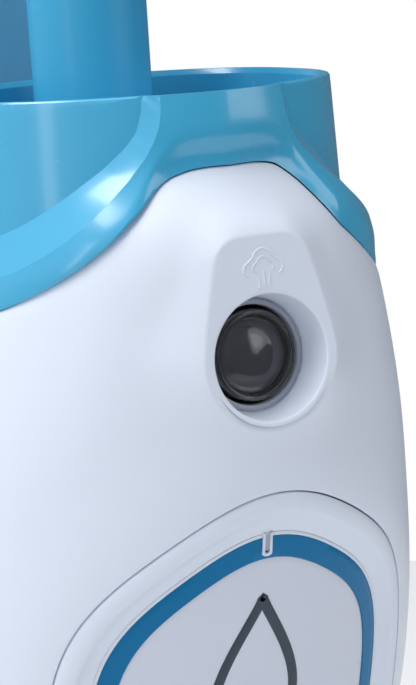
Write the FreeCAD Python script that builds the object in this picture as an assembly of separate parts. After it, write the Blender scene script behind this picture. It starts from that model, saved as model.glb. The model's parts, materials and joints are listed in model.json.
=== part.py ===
import FreeCAD, Part
import math
import os

# Upright steam mop, millimetres. Origin on the floor under the pole's axis, +Z up, front at -Y.

# Driving dimensions: floor head
HEAD_HALF_WIDTH = 145.0
HEAD_FRONT = -100.0
HEAD_BACK = 82.0
PAD_OVERHANG = 4.0
PAD_THICK = 8.0
HOOK_THICK = 1.0
SOLE_TOP = 15.0
COVER_TOP = 33.0
COVER_WALL = 2.6

# Driving dimensions: neck hinges
PITCH_Y = 10.0
PITCH_Z = 40.0
SWIVEL_Z = 84.0
PIN_R = 4.0
RUNNING_GAP = 0.05
BARREL_R = 13.0
BARREL_HALF = 17.0
EAR_IN = 17.6
EAR_OUT = 29.0
BLADE_R = 11.0
BLADE_HALF = 7.0
CHEEK_IN = 7.6
CHEEK_OUT = 16.0
NECK_BOTTOM = 98.0

# Driving dimensions: body shells
BODY_BOTTOM = 150.0
WALL = 2.6
SPLIT_Y = -12.0
SEAM_SIDE_Z = 428.6
SEAM_TOP_Z = 463.2
SEAM_GAP = 0.4
RIM_Z = 480.0
DECK_TOP = 452.0

# Driving dimensions: steam button, on a face tilted back
FACE_Y = -85.2
FACE_Z = 422.5
FACE_TILT = 5.7
MOUTH_R = 14.2
SEAT_R = 12.8
SEAT_DEPTH = 9.5
CAP_R = 10.3
CAP_DEPTH = 7.5
CAP_GAP = 0.5
BUTTON_TRAVEL = 3.0

# Driving dimensions: badge
BADGE_Z = 332.0
BADGE_WAVE = 0.015
BADGE_ASPECT = 0.845
BEZEL_R = 58.0
RECESS_R = 48.0
RING_R = 47.2
LABEL_R = 41.5
BADGE_SINK = 3.0

# Driving dimensions: column, pole and handle
COLUMN_R = 15.0
COLUMN_WALL = 2.0
COLUMN_BOTTOM = 407.0
COLUMN_TOP = 640.0
POLE_R = 11.5
POLE_BOTTOM = 560.0
POLE_TOP = 1040.0
HANDLE_TOP = 1200.0
HANDLE_BOTTOM = 1022.0
HANDLE_HALF = 14.0
LOWER_HOOK_Z = 760.0
UPPER_HOOK_Z = 996.0
HOOK_HALF_WIDTH = 7.0
HOOK_THICK_HALF = 3.5
HOOK_REACH = 52.0
HOOK_LIP = 6.0
HOOK_LIP_LENGTH = 26.0

# Driving dimensions: water tank
TANK_HALF = 36.0
TANK_FRONT = 33.6
TANK_BACK = 79.0
TANK_BOTTOM = 360.0
TANK_TOP = 556.0
TANK_WALL = 2.0
BAY_HALF = 37.5
BAY_FRONT = 32.0
BAY_FLOOR = 358.0
FILLER_Y = 51.5
CAP_HOLE_R = 13.5
CAP_PLUG_R = 12.4
CAP_DISC_R = 15.5
CAP_HINGE_Y = 67.0
CAP_HINGE_Z = TANK_TOP + 11.0

V = FreeCAD.Vector
X_AXIS = V(1, 0, 0)


def box(x0, x1, y0, y1, z0, z1):
    return Part.makeBox(x1 - x0, y1 - y0, z1 - z0, V(x0, y0, z0))


def rod(radius, start, end):
    run = V(*end) - V(*start)
    return Part.makeCylinder(radius, run.Length, V(*start), run)


def pipe(outer, inner, start, end):
    return rod(outer, start, end).cut(rod(inner, start, end))


def cone(r0, r1, start, end):
    run = V(*end) - V(*start)
    return Part.makeCone(r0, r1, run.Length, V(*start), run)


def route(radius, points):
    """Straight runs of tube with round elbows."""
    shape = rod(radius, points[0], points[1])
    for start, end in zip(points[1:], points[2:]):
        elbow = Part.makeSphere(radius, V(*start))
        shape = shape.fuse(elbow).fuse(rod(radius, start, end))
    return shape.removeSplitter()


def closed_curve(points):
    curve = Part.BSplineCurve()
    curve.interpolate(points, PeriodicFlag=True)
    return Part.Wire([curve.toShape()])


def oval(z, half, front, back, power_x=2.1, power_y=2.2, grow=0.0, count=28):
    """A superellipse section, rounder or squarer by its two powers."""
    middle = front + 0.53 * (back - front)
    points = []
    for index in range(count):
        turn = 2 * math.pi * index / count
        cosine = math.cos(turn)
        sine = math.sin(turn)
        depth = (back - middle if sine > 0 else middle - front) + grow
        x = (half + grow) * math.copysign(abs(cosine) ** (2 / power_x), cosine)
        y = middle + depth * math.copysign(abs(sine) ** (2 / power_y), sine)
        points.append(V(x, y, z))
    return closed_curve(points)


def loft(wires):
    return Part.makeLoft(wires, True, False)


# Body sections: height, half width, front, back
BODY_SECTIONS = (
    (150.0, 24.0, -24.0, 24.0),
    (185.0, 30.0, -32.0, 29.0),
    (225.0, 42.0, -44.0, 36.0),
    (265.0, 56.0, -54.0, 42.0),
    (300.0, 67.0, -61.5, 45.5),
    (335.0, 71.5, -69.2, 49.0),
    (370.0, 68.3, -78.0, 50.0),
    (400.0, 63.8, -83.2, 50.0),
    (425.0, 58.4, -84.2, 47.0),
    (440.0, 54.6, -83.2, 43.5),
    (452.0, 51.4, -79.8, 39.5),
    (464.0, 49.8, -71.2, 34.0),
    (472.0, 49.5, -70.2, 31.5),
    (480.0, 49.0, -69.4, 29.4),
)


def body_loft(grow=0.0, skirt=0.0):
    """The body's outside, grown or shrunk evenly, with the bottom section let down by skirt."""
    wires = []
    for z, half, front, back in BODY_SECTIONS:
        low = skirt if z == BODY_BOTTOM else 0.0
        high = skirt if z == RIM_Z else 0.0
        blend = min(1.0, max(0.0, (z - 440.0) / 40.0))
        power_x = 2.1 - 0.5 * blend
        power_y = 2.2 + 0.4 * blend
        wires.append(oval(z - low + high, half, front, back, power_x, power_y, grow))
    return loft(wires)


def cup_loft(grow=0.0, low=436.0, high=480.0):
    """The open cup round the column's foot."""
    wires = []
    for part_up in (0.0, 0.5, 1.0):
        z = low + (high - low) * part_up
        spread = (480.0 - z) * 0.06
        wires.append(oval(z, 49.0 + spread * 0.6, -69.4 - spread, 29.4, 1.6, 2.6, grow))
    return loft(wires)


def profile_xz(points, y0, y1):
    """A prism along Y from a mirrored outline whose right half is given from the side to the top."""
    right = [V(x, y0, z) for x, z in points]
    left = [V(-x, y0, z) for x, z in reversed(points)]
    edge_right = Part.BSplineCurve()
    edge_right.interpolate(right)
    edge_left = Part.BSplineCurve()
    edge_left.interpolate(left)
    far = 120.0
    low = 100.0
    side = V(far, y0, points[0][1])
    other = V(-far, y0, points[0][1])
    edges = [
        edge_right.toShape(),
        Part.makeLine(right[-1], left[0]),
        edge_left.toShape(),
        Part.makeLine(left[-1], other),
        Part.makeLine(other, V(-far, y0, low)),
        Part.makeLine(V(-far, y0, low), V(far, y0, low)),
        Part.makeLine(V(far, y0, low), side),
        Part.makeLine(side, right[0]),
    ]
    return Part.Face(Part.Wire(edges)).extrude(V(0, y1 - y0, 0))


SEAM = (
    (60.0, SEAM_SIDE_Z),
    (57.0, 429.2),
    (53.0, 431.2),
    (48.4, 433.9),
    (43.2, 437.2),
    (39.4, 439.8),
    (35.0, 443.1),
    (30.4, 446.8),
    (25.5, 450.9),
    (20.5, 455.8),
    (17.0, 459.3),
    (14.7, 461.0),
    (12.0, 462.4),
    (9.0, SEAM_TOP_Z),
)
CREASE = (
    (62.0, 436.5),
    (48.0, 440.3),
    (38.0, 450.5),
    (30.6, 457.4),
    (19.6, 467.6),
    (15.4, 476.0),
    (14.6, 481.0),
)


def white_zone(gap=0.0):
    """Everything below the seam between the white shells and the collar."""
    front = profile_xz([(x, z + gap) for x, z in SEAM], -120.0, SPLIT_Y)
    rear = box(-120, 120, SPLIT_Y, 120, 100, SEAM_SIDE_Z + gap)
    return front.fuse(rear)


def tilt_place(shape):
    """Puts a shape drawn at the origin, facing +Z, on the button's face."""
    turn = FreeCAD.Rotation(X_AXIS, 90.0 - FACE_TILT)
    shape.Placement = FreeCAD.Placement(V(0, FACE_Y, FACE_Z), turn).multiply(shape.Placement)
    return shape


def hexagon(radius, y0, y1):
    """A soft hexagonal prism along Y."""
    points = []
    for index in range(36):
        turn = 2 * math.pi * index / 36
        reach = radius * (1 + BADGE_WAVE * math.cos(6 * (turn - math.pi / 2)))
        points.append(V(BADGE_ASPECT * reach * math.cos(turn), y0, BADGE_Z + reach * math.sin(turn)))
    return Part.Face(closed_curve(points)).extrude(V(0, y1 - y0, 0))


# ---------------------------------------------------------------- floor head
HEAD_SCREWS = ((-110, -30), (-110, 30), (110, -30), (110, 30), (0, -56))


def head_outline(z, inset=0.0, count=40):
    """The head's plan: wide, with a slightly pointed front and soft corners."""
    points = []
    middle = 0.5 * (HEAD_FRONT + HEAD_BACK) + 6.0
    for index in range(count):
        turn = 2 * math.pi * index / count
        cosine = math.cos(turn)
        sine = math.sin(turn)
        x = (HEAD_HALF_WIDTH - inset) * math.copysign(abs(cosine) ** 0.62, cosine)
        depth = (HEAD_BACK - middle if sine > 0 else middle - HEAD_FRONT) - inset
        power = 0.66 if sine > 0 else 0.86
        y = middle + depth * math.copysign(abs(sine) ** power, sine)
        points.append(V(x, y, z))
    return closed_curve(points)


def head_slab(z0, z1, inset):
    return Part.Face(head_outline(z0, inset)).extrude(V(0, 0, z1 - z0))


def make_mop_pad():
    low = head_outline(0.0, 3.0 - PAD_OVERHANG)
    middle = head_outline(3.0, -PAD_OVERHANG)
    top = head_outline(PAD_THICK, 1.5 - PAD_OVERHANG)
    return Part.makeLoft([low, middle, top], True, True)


def make_hook_strips():
    strips = []
    for side in (-1, 1):
        strip = box(-24, 24, -70, 50, PAD_THICK, PAD_THICK + HOOK_THICK)
        strip.translate(V(side * 84, 0, 0))
        strips.append(strip)
    strips.append(box(-40, 40, -84, -60, PAD_THICK, PAD_THICK + HOOK_THICK))
    return Part.makeCompound(strips)


def make_sole_plate():
    plate = head_slab(PAD_THICK + HOOK_THICK, SOLE_TOP, 3.0)
    for x in (-50, 0, 50):
        for y in (-52, 38):
            plate = plate.cut(rod(2.5, (x, y, 0), (x, y, 40)))
    return plate


def make_steam_channel_plate():
    plate = head_slab(SOLE_TOP + 0.1, SOLE_TOP + 3.0, 16.0)
    groove = box(-100, 100, -4, 4, SOLE_TOP, SOLE_TOP + 1.6)
    plate = plate.cut(groove)
    for x, y in HEAD_SCREWS:
        plate = plate.cut(rod(4.2, (x, y, 0), (x, y, 40)))
    return plate


def make_manifold_seal():
    outer = head_slab(SOLE_TOP + 0.1, SOLE_TOP + 3.0, 12.0)
    return outer.cut(head_slab(SOLE_TOP, SOLE_TOP + 4.0, 15.8))


def make_head_cover():
    levels = ((SOLE_TOP + 0.1, 0.0), (21.0, 0.6), (28.0, 9.0), (COVER_TOP, 30.0))
    outer = loft([head_outline(z, inset) for z, inset in levels])
    cavity = ((SOLE_TOP, 0.0), (19.0, 0.0), (26.0, 8.0), (COVER_TOP - COVER_WALL, 28.0))
    inner = loft([head_outline(z, inset + COVER_WALL + 0.6) for z, inset in cavity])
    hub = rod(14.5, (-EAR_OUT, PITCH_Y, PITCH_Z), (EAR_OUT, PITCH_Y, PITCH_Z))
    hub = hub.fuse(box(-EAR_OUT, EAR_OUT, PITCH_Y - 13.8, PITCH_Y + 13.8, 26.2, PITCH_Z))
    cover = outer.cut(inner).fuse(hub)
    well = box(-EAR_IN - 2.0, EAR_IN + 2.0, -BLADE_HALF - 4.5, 37.0, 22.6, 31.5)
    cover = cover.fuse(well.common(outer))
    cover = cover.cut(box(-EAR_IN, EAR_IN, -BLADE_HALF - 1.5, 34.0, 25.4, 70))
    cover = cover.cut(rod(PIN_R, (-40, PITCH_Y, PITCH_Z), (40, PITCH_Y, PITCH_Z)))
    for x, y in HEAD_SCREWS:
        boss = pipe(4.0, 1.5, (x, y, SOLE_TOP + 3.2), (x, y, COVER_TOP)).common(outer)
        cover = cover.fuse(boss)
    return cover


def make_head_screws():
    screws = []
    for x, y in HEAD_SCREWS:
        shank = rod(1.5, (x, y, SOLE_TOP), (x, y, 24))
        screws.append(shank)
    return Part.makeCompound(screws)


def make_pitch_pins():
    pins = []
    for side in (-1, 1):
        pins.append(rod(PIN_R, (side * 6, PITCH_Y, PITCH_Z), (side * (EAR_OUT - 1), PITCH_Y, PITCH_Z)))
    return Part.makeCompound(pins)


# ---------------------------------------------------------------- neck
def make_knuckle():
    barrel = rod(BARREL_R, (-BARREL_HALF, PITCH_Y, PITCH_Z), (BARREL_HALF, PITCH_Y, PITCH_Z))
    web = box(-BLADE_R, BLADE_R, -BLADE_HALF, PITCH_Y + 8, PITCH_Z, PITCH_Z + 24)
    blade = box(-BLADE_R, BLADE_R, -BLADE_HALF, BLADE_HALF, PITCH_Z + 4, SWIVEL_Z)
    head = rod(BLADE_R, (0, -BLADE_HALF, SWIVEL_Z), (0, BLADE_HALF, SWIVEL_Z))
    shape = barrel.fuse(web).fuse(blade).fuse(head)
    bore = PIN_R + RUNNING_GAP
    shape = shape.cut(rod(bore, (-40, PITCH_Y, PITCH_Z), (40, PITCH_Y, PITCH_Z)))
    return shape.cut(rod(PIN_R, (0, -20, SWIVEL_Z), (0, 20, SWIVEL_Z)))


def make_swivel_pin():
    shank = rod(PIN_R, (0, -CHEEK_OUT + 0.6, SWIVEL_Z), (0, CHEEK_OUT - 0.6, SWIVEL_Z))
    return shank


def make_neck_fork():
    neck = loft([
        oval(NECK_BOTTOM, 15.0, -CHEEK_OUT, CHEEK_OUT, 2.6, 2.6),
        oval(118.0, 18.0, -19.0, 19.0, 2.4, 2.4),
        oval(146.0, 20.5, -20.5, 20.5, 2.2, 2.2),
        oval(168.0, 21.5, -22.5, 21.5, 2.2, 2.2),
    ])
    shape = neck
    for side in (-1, 1):
        near = min(side * CHEEK_IN, side * CHEEK_OUT)
        far = max(side * CHEEK_IN, side * CHEEK_OUT)
        cheek = box(-12, 12, near, far, SWIVEL_Z, NECK_BOTTOM + 6)
        cheek = cheek.fuse(rod(12, (0, near, SWIVEL_Z), (0, far, SWIVEL_Z)))
        shape = shape.fuse(cheek)
    shape = shape.cut(rod(8.0, (0, 0, NECK_BOTTOM + 10), (0, 0, 180)))
    bore = PIN_R + RUNNING_GAP
    return shape.cut(rod(bore, (0, -30, SWIVEL_Z), (0, 30, SWIVEL_Z)))


def make_neck_ring():
    outer = loft([oval(140.0, 23.6, -23.6, 23.6), oval(BODY_BOTTOM - 0.2, 24.4, -24.4, 24.4)])
    inner = loft([
        oval(139.0, 20.3, -20.3, 20.3, 2.2, 2.2, 0.3),
        oval(146.0, 20.5, -20.5, 20.5, 2.2, 2.2, 0.3),
        oval(168.0, 21.5, -22.5, 21.5, 2.2, 2.2, 0.3),
    ])
    return outer.cut(inner)


# ---------------------------------------------------------------- body shells
SHELL_SCREWS = ((-50, 290), (50, 290), (-28, 205), (28, 205), (-52, 400), (52, 400))


def screw_post(x, z, y0, y1):
    return rod(4.2, (x, y0, z), (x, y1, z))


def make_front_shell():
    boss = tilt_place(Part.makeCylinder(MOUTH_R + 2.4, SEAT_DEPTH, V(0, 0, -SEAT_DEPTH)))
    land = tilt_place(box(-10.5, 10.5, 4, 27, -6.0, 0))
    boss = boss.fuse(land)
    front = white_zone().common(box(-120, 120, -120, SPLIT_Y, 100, 500))
    solid = body_loft().fuse(boss).common(front)
    hollow = body_loft(-WALL, 1.0).cut(boss)
    for x, z in SHELL_SCREWS:
        hollow = hollow.cut(screw_post(x, z, -90, SPLIT_Y + 1))
    shell = solid.cut(hollow)
    funnel = Part.makeCone(SEAT_R, MOUTH_R + 0.2, SEAT_DEPTH + 1, V(0, 0, -SEAT_DEPTH))
    shell = shell.cut(tilt_place(funnel)).cut(tilt_place(Part.makeCylinder(SEAT_R, 12, V(0, 0, -14))))
    shell = shell.cut(hexagon(BEZEL_R + 0.3, -110, -40))
    for x, z in SHELL_SCREWS:
        shell = shell.cut(rod(1.5, (x, -30, z), (x, 0, z)))
    return shell


def bay_block():
    return box(-BAY_HALF - WALL, BAY_HALF + WALL, BAY_FRONT - WALL, 100, BAY_FLOOR - WALL, 600)


def bay_space():
    return box(-BAY_HALF, BAY_HALF, BAY_FRONT, 120, BAY_FLOOR, 700)


def make_rear_shell():
    rear = box(-120, 120, SPLIT_Y, 120, 100, SEAM_SIDE_Z)
    shelf = loft([
        oval(286.0, 16.0, 4.0, 42.0, 2.2, 2.2),
        oval(325.0, 33.0, 4.0, 62.0, 2.4, 2.4),
        oval(347.0, 38.5, 4.0, 77.0, 2.8, 2.8),
        oval(BAY_FLOOR, 39.5, 4.0, 80.5, 3.2, 3.2),
    ])
    solid = body_loft().fuse(shelf).common(rear)
    hollow = body_loft(-WALL, 1.0).cut(bay_block())
    for x, z in SHELL_SCREWS:
        hollow = hollow.cut(screw_post(x, z, SPLIT_Y - 1, 70))
    shell = solid.cut(hollow).cut(bay_space())
    shell = shell.cut(rod(9.8, (0, 56, 325), (0, 56, BAY_FLOOR - 3.0)))
    shell = shell.cut(rod(7.0, (0, 56, 325), (0, 56, BAY_FLOOR + 5)))
    shell = shell.cut(rod(4.0, (0, 20, 328), (0, 56, 328)))
    shell = shell.cut(rod(5.5, (0, 10, 215), (0, 60, 215)))
    for x, z in SHELL_SCREWS:
        shell = shell.cut(rod(1.7, (x, -20, z), (x, 12, z)))
    return shell


def make_shell_screws():
    screws = []
    for x, z in SHELL_SCREWS:
        screws.append(rod(1.45, (x, -26, z), (x, 4, z)))
    return Part.makeCompound(screws)


def make_collar():
    strip_zone = profile_xz(CREASE, -120.0, SPLIT_Y)
    strip_zone = strip_zone.fuse(box(-120, 120, SPLIT_Y, 120, 100, 440.0))
    strip = body_loft().common(strip_zone)
    shape = strip.fuse(cup_loft())
    shape = shape.cut(cup_loft(-2.4, 424.0, 486.0))
    white = white_zone(SEAM_GAP)
    keep = body_loft(-WALL - 0.4)
    shape = shape.cut(white.cut(keep))
    shape = shape.cut(box(-120, 120, -120, 120, 100, SEAM_SIDE_Z + SEAM_GAP))
    shape = shape.cut(bay_space())
    shape = shape.cut(box(-18.5, 18.5, -120, -60, 100, 456))
    liner = bay_block().cut(bay_space()).common(cup_loft(-1.0)).common(body_loft(-1.0))
    above = box(-120, 120, SPLIT_Y, 120, SEAM_SIDE_Z + SEAM_GAP, RIM_Z)
    return shape.fuse(liner.common(above))


def make_collar_deck():
    plate = cup_loft(-2.9, 424.0, 486.0)
    plate = plate.common(box(-120, 120, -64, BAY_FRONT - WALL - 0.2, DECK_TOP - 3, DECK_TOP))
    socket = pipe(COLUMN_R + 3.0, COLUMN_R + 0.1, (0, 0, 400), (0, 0, DECK_TOP))
    ledge = pipe(COLUMN_R + 3.0, 8.0, (0, 0, 400), (0, 0, COLUMN_BOTTOM))
    plate = plate.cut(rod(COLUMN_R + 0.1, (0, 0, 440), (0, 0, 460)))
    deck = plate.fuse(socket).fuse(ledge)
    return deck.cut(rod(2.0, (-30, 0, 425), (30, 0, 425)))


def make_column_screws():
    screws = []
    for side in (-1, 1):
        screws.append(rod(1.95, (side * (COLUMN_R - 1.9), 0, 425), (side * 22, 0, 425)))
    return Part.makeCompound(screws)


# ---------------------------------------------------------------- badge
def badge_layer(outer_r, inner_r, low_grow, high_grow):
    prism = hexagon(outer_r, -110, -40)
    if inner_r > 0:
        prism = prism.cut(hexagon(inner_r, -111, -39))
    return body_loft(high_grow).cut(body_loft(low_grow, 1.0)).common(prism)


def make_badge_bezel():
    return badge_layer(BEZEL_R, RECESS_R, -BADGE_SINK - 3.0, 0.0)


def make_badge_ring():
    return badge_layer(RING_R, LABEL_R + 0.1, -BADGE_SINK - 1.6, -BADGE_SINK)


def make_badge_plate():
    tray = badge_layer(RECESS_R - 0.2, 0, -BADGE_SINK - 3.0, -BADGE_SINK - 1.7)
    return tray.fuse(badge_layer(LABEL_R, 0, -BADGE_SINK - 2.0, -BADGE_SINK - 0.4))


def make_badge_emblem():
    """A plain water drop, raised a little from the label."""
    radius = 14.0
    centre = BADGE_Z + 4.0
    drop = rod(radius, (0, -110, centre), (0, -40, centre))
    reach = radius * math.cos(math.radians(30))
    lift = radius * math.sin(math.radians(30))
    tip = centre + radius / math.sin(math.radians(30))
    corners = [V(-reach, -110, centre + lift), V(reach, -110, centre + lift), V(0, -110, tip)]
    wedge = Part.Face(Part.makePolygon(corners + corners[:1])).extrude(V(0, 70, 0))
    prism = drop.fuse(wedge)
    return body_loft(-BADGE_SINK + 0.1).cut(body_loft(-BADGE_SINK - 0.4, 1.0)).common(prism)


# ---------------------------------------------------------------- steam button
def turned(radius, low, high):
    return Part.makeCylinder(radius, high - low, V(0, 0, low))


def make_button_well():
    bore = CAP_R + CAP_GAP
    cup = turned(SEAT_R + 1.8, -25.0, -SEAT_DEPTH - 0.1).cut(turned(bore, -22.6, 0))
    return tilt_place(cup.cut(turned(3.2, -30, 0)))


def make_well_ring():
    ring = turned(SEAT_R - 0.2, -SEAT_DEPTH, -SEAT_DEPTH + 1.2)
    return tilt_place(ring.cut(turned(CAP_R + CAP_GAP + 0.1, -12, 0)))


def make_button_cap():
    rim = turned(CAP_R, -18.0, -CAP_DEPTH).cut(turned(8.6, -18.0, -CAP_DEPTH - 2.2))
    dome = Part.makeSphere(24.0, V(0, 0, -CAP_DEPTH - 22.6)).common(turned(7.9, -CAP_DEPTH - 1, 0))
    return tilt_place(rim.fuse(dome))


def make_button_core():
    core = turned(8.4, -15.5, -CAP_DEPTH - 2.4).fuse(turned(2.6, -24.6, -15.5))
    return tilt_place(core)


def make_button_spring():
    coils = []
    for turn in range(3):
        coils.append(Part.makeTorus(4.6, 0.45, V(0, 0, -22.0 + turn * 1.0)))
    return tilt_place(Part.makeCompound(coils))


def make_microswitch():
    case = box(-6.5, 6.5, -3.2, 3.2, -34.9, -28.6)
    return tilt_place(case.fuse(turned(1.4, -28.6, -28.0)))


def make_control_board():
    return tilt_place(box(-27, 27, -22, 18, -36.6, -35.0))


def make_indicator_led():
    lights = []
    for side in (-1, 1):
        lens = Part.makeCylinder(1.5, 7.0, V(side * 9.5, 0, -34.9))
        lights.append(lens)
    return tilt_place(Part.makeCompound(lights))


# ---------------------------------------------------------------- water and steam works
def make_boiler():
    tank = rod(22.0, (0, -3, 222), (0, -3, 288))
    top = Part.makeSphere(30.0, V(0, -3, 267.6)).common(rod(22.0, (0, -3, 280), (0, -3, 300)))
    outlet = rod(5.0, (0, -3, 212), (0, -3, 222))
    return tank.fuse(top).fuse(outlet)


def make_boiler_bracket():
    ring = pipe(25.0, 22.1, (0, -3, 246), (0, -3, 260))
    arms = []
    for side in (-1, 1):
        arm = box(min(side * 24, side * 44), max(side * 24, side * 44), -10, 6, 250, 254)
        arms.append(arm)
    return ring.fuse(arms[0]).fuse(arms[1])


def make_thermostats():
    discs = []
    for z in (235, 276):
        discs.append(rod(7.0, (0, -29.5, z), (0, -25.2, z)))
    return Part.makeCompound(discs)


def make_pump():
    coil = box(-17, 17, -16, 14, 312, 344)
    barrel = rod(8.0, (0, -1, 344), (0, -1, 372))
    inlet = rod(3.5, (0, -1, 372), (0, -1, 382))
    outlet = rod(3.5, (0, -1, 303), (0, -1, 312))
    return coil.fuse(barrel).fuse(inlet).fuse(outlet)


def make_pump_mounts():
    mounts = []
    for side in (-1, 1):
        low = min(side * 17.1, side * 24)
        mounts.append(box(low, low + 6.9, -12, 10, 322, 334))
    return Part.makeCompound(mounts)


def make_water_tube():
    path = ((0, 56, 332), (0, 56, 328), (0, 22, 328), (22, 22, 350), (22, 2, 388), (0, -1, 388), (0, -1, 382.2))
    return route(3.0, path)


def make_steam_tube():
    return rod(5.0, (0, -3, 211.5), (0, -1, 172))


def make_tank_socket():
    cup = rod(9.5, (0, 56, 338), (0, 56, BAY_FLOOR - 3.0))
    flange = rod(6.8, (0, 56, 332.2), (0, 56, BAY_FLOOR))
    return cup.fuse(flange).cut(rod(4.6, (0, 56, 345), (0, 56, BAY_FLOOR + 1)))


def make_socket_seal():
    return pipe(4.5, 3.5, (0, 56, 345.1), (0, 56, 348))


def make_cord_gland():
    sleeve = pipe(5.4, 3.6, (0, 26, 215), (0, 40, 215))
    flange = pipe(7.8, 3.6, (0, 26, 215), (0, 29.5, 215))
    return sleeve.fuse(flange)


# ---------------------------------------------------------------- water tank
def tank_loft(grow=0.0, low=TANK_BOTTOM, high=TANK_TOP):
    wires = []
    for part_up, half, back in ((0.0, -1.5, -2.5), (0.35, 0.0, 0.0), (0.8, 0.0, 0.0), (1.0, -2.0, -4.0)):
        z = low + (high - low) * part_up
        wires.append(oval(z, TANK_HALF + half, TANK_FRONT, TANK_BACK + back, 3.4, 3.4, grow))
    return loft(wires)


def make_tank_shell():
    shell = tank_loft().cut(tank_loft(-TANK_WALL, TANK_BOTTOM + TANK_WALL, TANK_TOP + 1))
    return shell.cut(rod(6.0, (0, 56, 350), (0, 56, 370)))


def make_tank_top():
    lid = loft([
        oval(TANK_TOP + 0.1, TANK_HALF - 1.4, TANK_FRONT, TANK_BACK - 3.4, 3.4, 3.4),
        oval(TANK_TOP + 5.0, TANK_HALF - 1.6, TANK_FRONT + 0.2, TANK_BACK - 3.6, 3.4, 3.4),
        oval(TANK_TOP + 8.0, TANK_HALF - 4.0, TANK_FRONT + 2.4, TANK_BACK - 6.0, 3.4, 3.4),
    ])
    plug = tank_loft(-TANK_WALL - 0.4).common(box(-50, 50, 0, 100, TANK_TOP - 5.0, TANK_TOP + 0.2))
    top = lid.fuse(plug)
    top = top.cut(rod(CAP_HOLE_R, (0, FILLER_Y, TANK_TOP - 20), (0, FILLER_Y, TANK_TOP + 20)))
    return top.cut(box(-9.4, 9.4, 67.6, 90, TANK_TOP - 6, TANK_TOP + 5.0))


def make_tank_valve():
    stem = rod(3.9, (0, 56, 351), (0, 56, TANK_BOTTOM + 2.2))
    body = rod(5.9, (0, 56, TANK_BOTTOM), (0, 56, TANK_BOTTOM + 3))
    return stem.fuse(body).fuse(rod(9.0, (0, 56, TANK_BOTTOM + 2.2), (0, 56, TANK_BOTTOM + 6)))


def make_inlet_filter():
    return pipe(9.0, 7.4, (0, 56, TANK_BOTTOM + 6.1), (0, 56, TANK_BOTTOM + 20))


def make_tank_cap():
    disc = rod(CAP_DISC_R, (0, FILLER_Y, TANK_TOP + 8.4), (0, FILLER_Y, TANK_TOP + 12.0))
    disc = disc.cut(box(-9.4, 9.4, 63.4, 70, TANK_TOP + 8, TANK_TOP + 13))
    plug = rod(CAP_PLUG_R, (0, FILLER_Y, TANK_TOP + 3.5), (0, FILLER_Y, TANK_TOP + 8.4))
    tab = box(-5, 5, FILLER_Y - CAP_DISC_R - 4.0, FILLER_Y - CAP_DISC_R + 2.5, TANK_TOP + 9.0, TANK_TOP + 12.0)
    arm = box(-4, 4, 60, CAP_HINGE_Y, TANK_TOP + 9.4, TANK_TOP + 12.6)
    knuckle = rod(2.6, (-4, CAP_HINGE_Y, CAP_HINGE_Z), (4, CAP_HINGE_Y, CAP_HINGE_Z))
    shape = disc.fuse(plug).fuse(tab).fuse(arm).fuse(knuckle)
    return shape.cut(rod(1.3, (-5, CAP_HINGE_Y, CAP_HINGE_Z), (5, CAP_HINGE_Y, CAP_HINGE_Z)))


def make_cap_hinge():
    pin = rod(1.25, (-8, CAP_HINGE_Y, CAP_HINGE_Z), (8, CAP_HINGE_Y, CAP_HINGE_Z))
    shape = pin
    for side in (-1, 1):
        low = min(side * 4.4, side * 8.4)
        ear = box(low, low + 4, CAP_HINGE_Y - 2.6, CAP_HINGE_Y + 2.6, TANK_TOP + 8.1, CAP_HINGE_Z)
        cheek = rod(2.6, (low, CAP_HINGE_Y, CAP_HINGE_Z), (low + 4, CAP_HINGE_Y, CAP_HINGE_Z))
        shape = shape.fuse(ear).fuse(cheek)
    return shape


def make_tank_latch():
    return box(-9.0, 9.0, 71.6, 78.4, TANK_TOP + 0.3, TANK_TOP + 4.7)


# ---------------------------------------------------------------- column, pole and handle
def make_column():
    shape = pipe(COLUMN_R, COLUMN_R - COLUMN_WALL, (0, 0, COLUMN_BOTTOM + 0.1), (0, 0, COLUMN_TOP))
    shape = shape.cut(rod(4.3, (0, 0, 616), (0, -30, 616)))
    return shape.cut(rod(2.0, (-30, 0, 425), (30, 0, 425)))


def make_pole_ferrule():
    bush = pipe(COLUMN_R - COLUMN_WALL - 0.05, POLE_R + 0.05, (0, 0, 570), (0, 0, COLUMN_TOP))
    collar = pipe(COLUMN_R + 1.4, POLE_R + 0.05, (0, 0, COLUMN_TOP), (0, 0, COLUMN_TOP + 14))
    cone_top = cone(COLUMN_R + 1.4, POLE_R + 1.2, (0, 0, COLUMN_TOP + 14), (0, 0, COLUMN_TOP + 24))
    cone_top = cone_top.cut(rod(POLE_R + 0.05, (0, 0, COLUMN_TOP), (0, 0, COLUMN_TOP + 30)))
    shape = bush.fuse(collar).fuse(cone_top)
    return shape.cut(rod(4.3, (0, 0, 616), (0, -30, 616)))


def make_pole():
    shape = pipe(POLE_R, POLE_R - 1.0, (0, 0, POLE_BOTTOM), (0, 0, POLE_TOP))
    return shape.cut(rod(4.3, (0, 0, 616), (0, -30, 616)))


def make_pole_button():
    shape = rod(3.9, (0, -7.0, 616), (0, -15.8, 616))
    return shape.fuse(rod(5.2, (0, -4.0, 616), (0, -7.0, 616)))


def ring_outline(x, inset):
    """The loop handle's side outline: a tall soft D, leaning back."""
    points = []
    half_height = 0.5 * (HANDLE_TOP - HANDLE_BOTTOM) - inset
    half_depth = 39.0 - inset
    middle = 0.5 * (HANDLE_TOP + HANDLE_BOTTOM)
    for index in range(32):
        turn = 2 * math.pi * index / 32
        cosine = math.cos(turn)
        sine = math.sin(turn)
        y = half_depth * math.copysign(abs(cosine) ** 0.8, cosine)
        z = half_height * math.copysign(abs(sine) ** 0.8, sine)
        lean = 0.10 * z + 4.0
        points.append(V(x, y + lean, middle + z))
    return closed_curve(points)


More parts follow.
